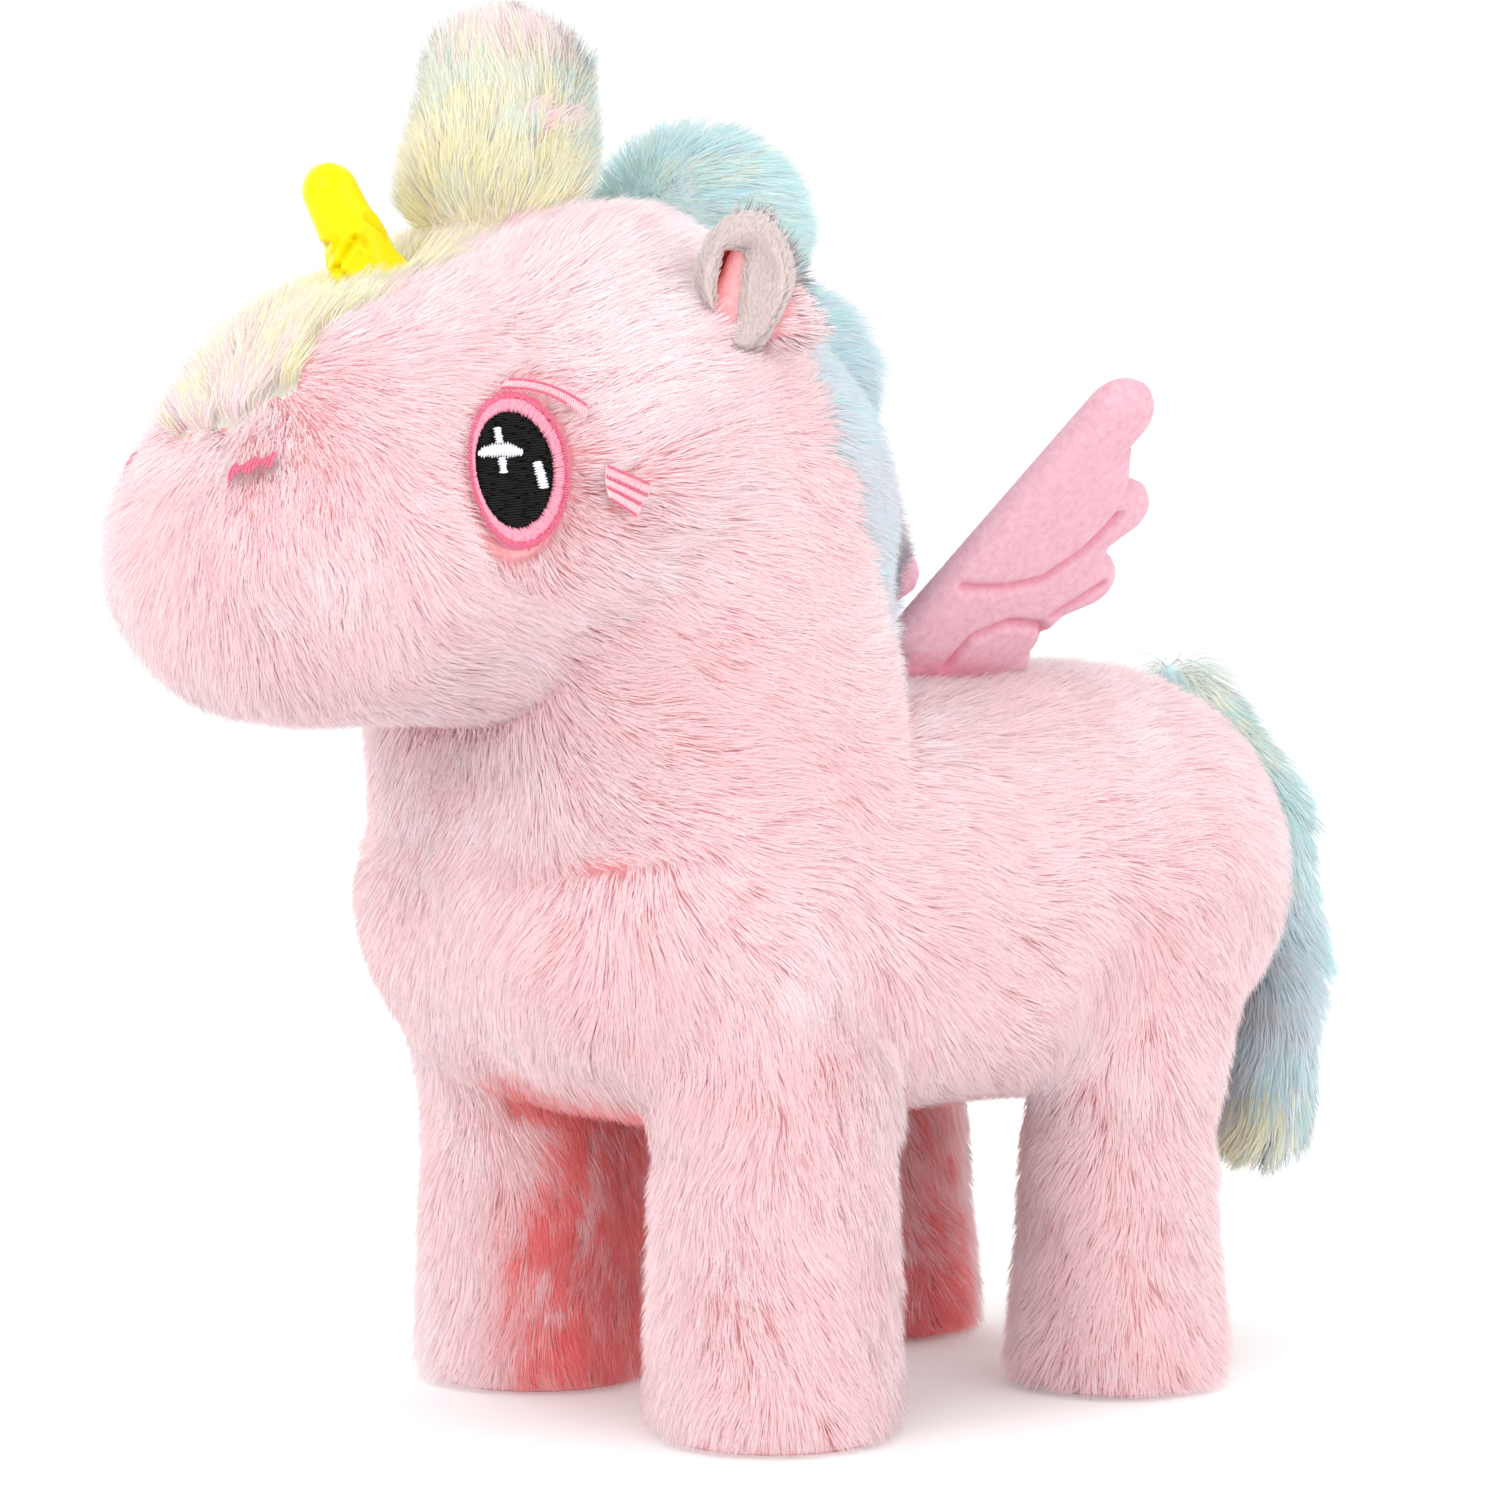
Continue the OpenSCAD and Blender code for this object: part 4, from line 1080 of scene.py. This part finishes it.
def pupil_rows(rng):
    """Level rows of black satin across the pupil, cut at random."""
    starts, ends = [], []
    for y in np.arange(-PUPIL_HALF_H + 0.3, PUPIL_HALF_H - 0.2, 0.4):
        half = PUPIL_HALF_W * math.sqrt(1 - (y / PUPIL_HALF_H) ** 2)
        cuts = sorted([-half, *rng.uniform(-half, half, 2 if half > 3 else 0), half])
        for a, b in zip(cuts, cuts[1:]):
            starts.append((PUPIL_X + a - 0.1, y, 0.4))
            ends.append((PUPIL_X + b + 0.1, y, 0.4))
    return lean(stitches(starts, ends, 0.12))


def border_stitches(rng, inner, outer, count, slant):
    """Radial stitches round the eye, from share inner to share outer of the border."""
    a = np.arange(count) * 2 * math.pi / count
    a_in = a + rng.normal(0, 0.006, count)
    near = np.stack([PUPIL_X + PUPIL_HALF_W * np.cos(a_in), PUPIL_HALF_H * np.sin(a_in)], 1)
    far = np.stack([EYE_HALF_W * np.cos(a + slant), EYE_HALF_H * np.sin(a + slant)], 1)
    shares = rng.normal(0, 0.035, (2, count, 1))
    ends = [near + (far - near) * (share + jitter)
            for share, jitter in zip((inner, outer), shares)]
    flat = [np.column_stack([e, np.full(count, z)]) for e, z in zip(ends, (0.45, 0.0))]
    return lean(stitches(flat[0], flat[1], 0.45))


def sparkle_stitches(rng):
    """A four-pointed star of satin stitches and a short slanting bar beside it."""
    starts, ends = [], []
    for x in np.arange(-3.5, 3.51, 0.42):
        half = 0.5 + 0.75 * (1 - (x / 3.6) ** 2) + rng.normal(0, 0.07)
        drop = -0.5 * (abs(x) / 3.5) ** 2
        starts.append((-3.1 + x - 0.1, 2.9 + drop - half, 0.85))
        ends.append((-3.1 + x + 0.1, 2.9 + drop + half, 0.85))
    for y in [*np.arange(-3.5, -1.1, 0.42), *np.arange(1.3, 3.8, 0.42)]:
        half = 0.62 + rng.normal(0, 0.07)
        starts.append((-3.1 - 0.08 * y - half, 2.85 + y, 0.8))
        ends.append((-3.1 - 0.08 * y + half, 2.95 + y, 0.8))
    for t in np.arange(-1.9, 1.91, 0.42):
        half = 0.85 + rng.normal(0, 0.07)
        starts.append((3.2 - 0.27 * t - half, t - 1.2, 0.8))
        ends.append((3.2 - 0.27 * t + half, t - 1.0, 0.8))
    return stitches(starts, ends, 0.35)


def bezier(a, b, c, t):
    """Points at shares t of the curve from a to c that bends towards b."""
    t = np.asarray(t)[:, None]
    return (1 - t) ** 2 * np.array(a) + 2 * t * (1 - t) * np.array(b) + t * t * np.array(c)


def run_of_stitches(points):
    """Short stitches end to end along a line of points."""
    points = np.column_stack([points, np.zeros(len(points))])
    return stitches(points[:-1], points[1:], 0.18)


def lash_paths():
    """Light satin between the two lash lines, and the lines and rear rows over it."""
    t = np.linspace(0, 1, 34)
    upper = bezier((-0.5, 14.5), (5.8, 14.6), (11.4, 10.0), t)
    lower = bezier((-2.0, 13.0), (5.6, 13.6), (11.0, 7.8), t)
    level = np.zeros((len(t), 1))
    fill = [stitches(np.hstack([lower, level]), np.hstack([upper, level]), 0.15)]
    lines = [run_of_stitches(upper), run_of_stitches(lower[:26])]
    rows = [((14.4, 0.4), (21.6, -2.4)), ((14.2, -1.3), (21.4, -4.2)),
            ((14.4, -2.9), (20.4, -5.6)), ((15.0, -4.7), (19.6, -7.3))]
    ends = []
    for a, b in rows:
        a, b = np.array(a), np.array(b)
        lines.append(run_of_stitches(a + (b - a) * np.linspace(0, 1, 12)[:, None]))
        ends.append(a + (b - a) * np.linspace(0, 1, 22)[:, None])
    for first, second in zip(ends, ends[1:]):
        flat = np.zeros((22, 1))
        fill.append(stitches(np.hstack([first, flat]), np.hstack([second, flat]), 0.12))
    return np.concatenate(fill), np.concatenate(lines)


def add_eyes():
    """For each eye a padded border, a felt pupil, and the stitches over them."""
    rng = np.random.default_rng(80)
    rows = pupil_rows(rng)
    light = border_stitches(rng, 0.0, 0.82, 190, 0.03)
    deep = border_stitches(rng, 0.62, 1.04, 170, 0.05)
    sparkle = sparkle_stitches(rng)
    fill, lines = lash_paths()
    for side, word in SIDES:
        matrix = EYE_FRAMES[side]
        points, faces = oval_pad(EYE_HALF_W - 0.2, EYE_HALF_H - 0.2, 0, 0.3, 3.2)
        pad = mesh_piece(f"eye_pad_{word}", draped(points, matrix, EYE_LIFT), faces,
                         ROSE_THREAD, matrix)
        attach(pad, "head")
        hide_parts(f"eye_{word}")
        points, faces = oval_pad(PUPIL_HALF_W, PUPIL_HALF_H, PUPIL_X, 0.15, 0.5)
        felt = mesh_piece(f"eye_pupil_felt_{word}", draped(points, matrix, EYE_LIFT + 0.25),
                          faces, BLACK_THREAD, matrix)
        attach(felt, "head")
        sew(f"eye_pupil_{word}", rows, matrix, 0.24, BLACK_THREAD, EYE_LIFT)
        sew(f"eye_border_{word}", light, matrix, 0.2, ROSE_THREAD, EYE_LIFT + 0.05)
        sew(f"eye_border_edge_{word}", deep, matrix, 0.2, DEEP_THREAD, EYE_LIFT)
        sew(f"eye_sparkle_{word}", sparkle, matrix, 0.25, WHITE_THREAD, EYE_LIFT)
        sew(f"lash_satin_{word}", fill, matrix, 0.2, PALE_THREAD, LASH_LIFT)
        row_piece = sew(f"lash_rows_{word}", lines, matrix, 0.2, DEEP_THREAD, LASH_LIFT + 0.15)
        if side > 0:
            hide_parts("eyelashes")


def add_nostrils():
    """A short rising bar of satin stitches for each nostril."""
    rng = np.random.default_rng(81)
    count = 13
    x = np.linspace(-NOSTRIL_HALF_W, NOSTRIL_HALF_W, count)
    half = 1.1 + 0.5 * np.cos(x * 1.9) + rng.normal(0, 0.1, count)
    tilt = 0.35 * x
    starts = np.column_stack([x - 0.3, tilt - half, np.zeros(count)])
    ends = np.column_stack([x + 0.3, tilt + half, np.zeros(count)])
    for side, word in SIDES:
        matrix = skin_frame(NOSTRIL_PLACE, NOSTRIL_TURN, NOSTRIL_RISE, side)
        mark = sew(f"nostril_{word}", stitches(starts, ends, 0.3), matrix, 0.3, DEEP_THREAD,
                   EYE_LIFT)
        if side > 0:
            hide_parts("nostrils")


# ---------- horn ----------

HORN_ROOT_Z, HORN_TIP_Z = -9, 21.6
# Creases in the horn: each from (angle, height) to (angle, height).
CREASES = [((4.2, 8.8), (4.9, 9.6)), ((4.9, 5.2), (5.9, 9.0)), ((5.9, 9.6), (6.7, 4.0)),
           ((5.0, 5.4), (5.3, 3.2)), ((2.2, 7.0), (3.2, 10.0)), ((1.0, 9.5), (1.9, 4.5)),
           ((6.6, 11.5), (7.3, 6.5)), ((0.3, 11.5), (1.0, 6.5)), ((3.1, 3.5), (4.0, 6.5))]


def horn_radius(t, a):
    """Radius at height t and angle a: a rounded tip over a crumpled, flaring base."""
    back = 0.5 + 0.5 * math.cos(a - 0.9)
    radius = 4.5 + 0.9 * back * math.exp(-((t - 9) / 5) ** 2)
    radius += (1.2 + 1.9 * back) * math.exp(-((t - 0.5) / 4.5) ** 2)
    radius -= 0.7 * (1 - back) * math.exp(-((t - 8.4) / 1.6) ** 2)
    for (a0, t0), (a1, t1) in CREASES:
        run, rise = (a1 - a0) * 5, t1 - t0
        along = (((a - a0) * 5) * run + (t - t0) * rise) / (run ** 2 + rise ** 2)
        along = min(max(along, 0.0), 1.0)
        gap = math.hypot((a - a0) * 5 - along * run, t - t0 - along * rise)
        radius -= 0.65 * math.exp(-(gap / 0.4) ** 2) - 0.3 * math.exp(-((gap - 1.1) / 0.6) ** 2)
    return radius * math.sqrt(max(0.0, 1 - (max(0.0, t - 16.8) / 4.8) ** 2))


def add_horn():
    """A rounded horn with a crumpled twist at its base, in its own axes."""
    rings, spokes = 110, 72
    points = []
    for t in np.linspace(HORN_ROOT_Z, HORN_TIP_Z, rings + 1).tolist():
        for j in range(spokes):
            a = 2 * math.pi * j / spokes
            r = horn_radius(t, a)
            points.append((r * math.cos(a), r * math.sin(a), t))
    faces = [tuple(range(spokes))[::-1]]
    for i in range(rings):
        for j in range(spokes):
            a, b = i * spokes + j, i * spokes + (j + 1) % spokes
            faces.append((a, b, b + spokes, a + spokes))
    faces.append(tuple(range(rings * spokes, (rings + 1) * spokes)))
    horn = mesh_piece("horn_clear", points, faces, horn_material(), HORN_MATRIX)
    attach(horn, "head")
    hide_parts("horn")


# ---------- wings ----------

WING_MATRIX = placed((18.5, -3, 128.6), 0, 35, 0)
# Feathers: each from its root to its tip, with its half width, in the wing's plane (y, z).
FEATHERS = [((8, 3), (28.5, 49.5), 7.0), ((13, 4), (39, 30), 5.6), ((16, 4), (39, 14.8), 5.6),
            ((6, -3), (28.5, -2.5), 5.2)]
# The web between the feathers, and the stitched lines.
WING_ROOT = [(3, 0), (20, 40), (34, 44), (37, 37), (38, 30), (40, 21), (39, 12), (33.5, 3),
             (31, -6), (6, -6)]
SEAMS = [[(9, 15.7), (18, 15.5), (25.4, 17), (32, 23), (36.3, 30.3)], [(32, 9), (40, 15.5)],
         [(13, -1), (15.7, 5), (22.3, 8), (30.5, 7), (33, 4)]]
WING_HALF_T = 3.6
WING_CELL = 0.7  # size of the cells that a wing's sheets are made of
WING_LOW, WING_HIGH = (-4, -12), (52, 60)  # corners of the grid round its outline


def segment_distance(p, a, b):
    """Distance of flat points from the line between a and b."""
    a, b = np.array(a, float), np.array(b, float)
    along = np.clip(((p - a) @ (b - a)) / ((b - a) @ (b - a)), 0, 1)
    return np.linalg.norm(p - a - along[:, None] * (b - a), axis=1)


def inside_polygon(p, corners):
    """Which flat points lie inside the outline through corners."""
    inside = np.zeros(len(p), bool)
    for (ax, ay), (bx, by) in zip(corners, corners[1:] + corners[:1]):
        if ay != by:
            crosses = (p[:, 1] > ay) != (p[:, 1] > by)
            inside ^= crosses & (p[:, 0] < (bx - ax) * (p[:, 1] - ay) / (by - ay) + ax)
    return inside


def wing_inset(p):
    """Distance inside the wing's outline; negative outside it."""
    best = np.full(len(p), -99.0)
    for a, b, r in FEATHERS:
        best = np.maximum(best, r - segment_distance(p, a, b))
    edge = np.min([segment_distance(p, a, b)
                   for a, b in zip(WING_ROOT, WING_ROOT[1:] + WING_ROOT[:1])], axis=0)
    return np.maximum(best, np.where(inside_polygon(p, WING_ROOT), edge, -edge))


def wing_sheet():
    """Points of the wing's plane on a grid, its cells, its inset and its distance to a seam."""
    ys, zs = (np.arange(low, high, WING_CELL) for low, high in zip(WING_LOW, WING_HIGH))
    grid = np.stack(np.meshgrid(ys, zs, indexing="ij"), -1).reshape(-1, 2)
    inset = wing_inset(grid)
    step = 0.05
    slope = np.stack([wing_inset(grid + d) - inset for d in ([step, 0], [0, step])], 1) / step
    edge = (inset < WING_CELL * 0.75) & (inset > -WING_CELL * 0.75)
    grid = np.where(edge[:, None], grid - slope * inset[:, None], grid)
    kept = inset > -WING_CELL * 0.75
    index = np.arange(len(grid)).reshape(len(ys), len(zs))
    cells = np.stack([index[:-1, :-1], index[1:, :-1], index[1:, 1:], index[:-1, 1:]], -1)
    cells = cells.reshape(-1, 4)
    cells = cells[kept[cells].all(1)]
    used, cells = np.unique(cells, return_inverse=True)
    cells = cells.reshape(-1, 4)
    grid = relaxed(grid[used], cells)
    seam = np.min([segment_distance(grid, a, b) for line in SEAMS for a, b in zip(line, line[1:])],
                  axis=0)
    return grid, cells, np.maximum(wing_inset(grid), 0), seam


def cell_sides(cells, count):
    """Every side between cells once, and which of count points are on the rim."""
    sides = np.sort(np.stack([cells, np.roll(cells, -1, 1)], -1).reshape(-1, 2), 1)
    pairs, uses = np.unique(sides, axis=0, return_counts=True)
    rim = np.zeros(count, bool)
    rim[pairs[uses == 1].ravel()] = True
    return pairs, rim


def relaxed(grid, cells):
    """The grid with its cells evened out just inside the rim."""
    pairs, rim = cell_sides(cells, len(grid))
    loose = ~rim & (wing_inset(grid) < 2.5)
    for _ in range(8):
        total, share = np.zeros_like(grid), np.zeros(len(grid))
        for a, b in (pairs.T, pairs.T[::-1]):
            np.add.at(total, a, grid[b])
            np.add.at(share, a, 1)
        grid = np.where(loose[:, None], total / share[:, None], grid)
    return grid


def wing_form():
    """A padded wing: two sheets that meet at the outline and dip along the stitched lines."""
    grid, cells, inset, seam = wing_sheet()
    rim = cell_sides(cells, len(grid))[1]
    full = np.clip(inset / 5.0, 0, 1)
    thick = WING_HALF_T * np.sqrt(1 - (1 - full) ** 2) * (1 - 0.5 * np.exp(-(seam / 0.8) ** 2))
    thick[rim] = 0
    count = len(grid)
    back = np.where(rim, np.arange(count), np.cumsum(~rim) - 1 + count)
    front_points = np.column_stack([thick, grid])
    back_points = np.column_stack([-thick, grid])[~rim]
    faces = np.concatenate([cells, back[cells][:, ::-1]])
    wing_root_shade = np.clip(1 - np.linalg.norm((grid - (10, -6)) / (22, 9), axis=1), 0, 1)
    # Painted shade along the stitched lines and where the wing meets the body.
    painted_shade = np.clip(0.6 * np.exp(-(seam / 0.7) ** 2) + 0.9 * wing_root_shade, 0, 1)
    return np.concatenate([front_points, back_points]), faces, np.concatenate([painted_shade, painted_shade[~rim]])


def add_wings():
    points, faces, painted_shade = wing_form()
    for side, word in SIDES:
        wing = mesh_piece(f"wing_padded_{word}", points, faces, WING_VELOUR,
                          on_side(WING_MATRIX, side), painted_shade)
        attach(wing, "torso")
        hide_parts(f"wing_{word}")


add_torso()
add_head()
add_crest()
add_legs()
add_tail()
add_ears()
add_eyes()
add_nostrils()
add_horn()
add_wings()


# ---------- hard parts: the CAD nodes keep their shapes ----------

STEEL = grained_material("steel", "a9abae", "c6c8cb", 700, 0.1, 0.0001, 0.25, metallic=1.0)
BRASS = grained_material("brass", "b08a3c", "d2ad5c", 600, 0.1, 0.0001, 0.28, metallic=1.0)
WHITE_ABS = grained_material("white_abs", "dddbd6", "eceae6", 500, 0.12, 0.0002, 0.45)
GREY_ABS = grained_material("grey_abs", "c9c9c6", "dadad7", 500, 0.12, 0.0002, 0.5)
DARK_ABS = grained_material("dark_abs", "232326", "343438", 800, 0.2, 0.0002, 0.5)
PINK_ABS = grained_material("pink_abs", "eeaab0", "f6bbc0", 800, 0.2, 0.0002, 0.5)
ACETAL = grained_material("acetal", "efefec", "fafaf8", 600, 0.08, 0.0001, 0.4)
BLUE_ACETAL = grained_material("blue_acetal", "8fa9bf", "a5bccd", 600, 0.08, 0.0001, 0.4)
CELL_WRAP = grained_material("cell_wrap", "454950", "555a63", 300, 0.05, 0.0001, 0.3, coat=0.4)
BOARD = grained_material("board_green", "266b42", "328553", 900, 0.1, 0.0001, 0.4)
LED_LENS = grained_material("led_lens", "f6eeb4", "fff9d6", 300, 0.02, 0.0001, 0.15)
STUFFING = grained_material("stuffing", "efebe6", "fbf9f6", 260, 0.9, 0.0015, 0.9)
SOLE_CLOTH = grained_material("sole_cloth", "e8969c", "f3b0b4", 1400, 0.6, 0.0003, 0.85, sheen=0.3)
HARD_PARTS = {
    STEEL: ["chassis_screws", "battery_contacts", "battery_door_screw", "motor", "gear_shafts",
            "hip_pins", "neck_pin"],
    BRASS: ["motor_pinion"],
    WHITE_ABS: ["chassis_left", "chassis_right", "head_frame", "tail_rod", "horn_ring",
                "leg_frame_front_left", "leg_frame_front_right", "leg_frame_hind_left",
                "leg_frame_hind_right"],
    GREY_ABS: ["gearbox_plate", "battery_box"],
    DARK_ABS: ["switch_housing", "power_switch", "speaker"],
    PINK_ABS: ["battery_door"],
    ACETAL: ["gear_a", "gear_b", "crankshaft"],
    BLUE_ACETAL: ["crank_disc_left", "crank_disc_right"],
    CELL_WRAP: ["batteries"],
    BOARD: ["circuit_board"],
    LED_LENS: ["horn_led"],
    STUFFING: ["body_padding", "head_padding"],
    SOLE_CLOTH: ["sole_front_left", "sole_front_right", "sole_hind_left", "sole_hind_right"],
}
for material, names in HARD_PARTS.items():
    for name in names:
        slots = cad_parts[name].data.materials
        slots.clear()
        slots.append(material)


# ---------- stage, light and camera ----------

def add_floor():
    """A wide white disc under the feet."""
    bm = bmesh.new()
    bmesh.ops.create_circle(bm, cap_ends=True, segments=96, radius=4)
    material, _, shader, _ = node_material("floor")
    shader.inputs["Base Color"].default_value = (0.96, 0.96, 0.96, 1)
    shader.inputs["Roughness"].default_value = 0.9
    floor = object_from_bmesh("floor", bm, material, smooth=False)


def place_towards_toy(piece, target, azimuth, elevation, distance):
    """Sets a lamp or camera at a distance from target, looking at it.

    Azimuth 0 is in front of the nose, and 90 at the toy's left side."""
    a, e = math.radians(azimuth), math.radians(elevation)
    back = Vector((math.sin(a) * math.cos(e), -math.cos(a) * math.cos(e), math.sin(e)))
    scene.collection.objects.link(piece)
    piece.location = target + back * distance
    piece.rotation_mode = "QUATERNION"
    piece.rotation_quaternion = (-back).to_track_quat("-Z", "Y")


# Square soft lights: name, azimuth, elevation, distance and size in metres, watts.
LAMPS = [
    ("key", 20, 32, 1.2, 1.0, 5.6),
    ("fill", 110, 15, 1.4, 1.2, 6),
    ("back", 200, 30, 1.4, 1.2, 4),
    ("right", -70, 25, 1.4, 1.2, 4),
]
LAMP_TARGET = Vector((0, 0, 0.1))
WORLD_STRENGTH = 1.06
VIEW_AZIMUTH, VIEW_ELEVATION, VIEW_DISTANCE = 52.6, 4, 0.9
VIEW_SHIFT = Vector((0, -1, -6.5))  # of the point looked at, from the middle of the CAD box


def add_lamps():
    for name, azimuth, elevation, distance, size, power in LAMPS:
        data = bpy.data.lights.new(name, "AREA")
        data.size = size
        data.energy = power
        lamp = bpy.data.objects.new(name, data)
        place_towards_toy(lamp, LAMP_TARGET, azimuth, elevation, distance)


def add_world():
    """Even white light from all round."""
    world = bpy.data.worlds.new("studio")
    world.use_nodes = True
    background = world.node_tree.nodes["Background"]
    background.inputs[0].default_value = (1, 1, 1, 1)
    background.inputs[1].default_value = WORLD_STRENGTH
    scene.world = world
    scene.view_settings.view_transform = "Standard"


def add_camera():
    """A long lens that looks at the toy's left front."""
    data = bpy.data.cameras.new("camera")
    data.sensor_width = 36
    data.lens = 125.3
    data.clip_start, data.clip_end = 0.05, 20
    camera = bpy.data.objects.new("camera", data)
    target = (cad_low + cad_high) / 2 + VIEW_SHIFT * MM
    place_towards_toy(camera, target, VIEW_AZIMUTH, VIEW_ELEVATION, VIEW_DISTANCE)
    scene.camera = camera


add_floor()
add_lamps()
add_world()
add_camera()
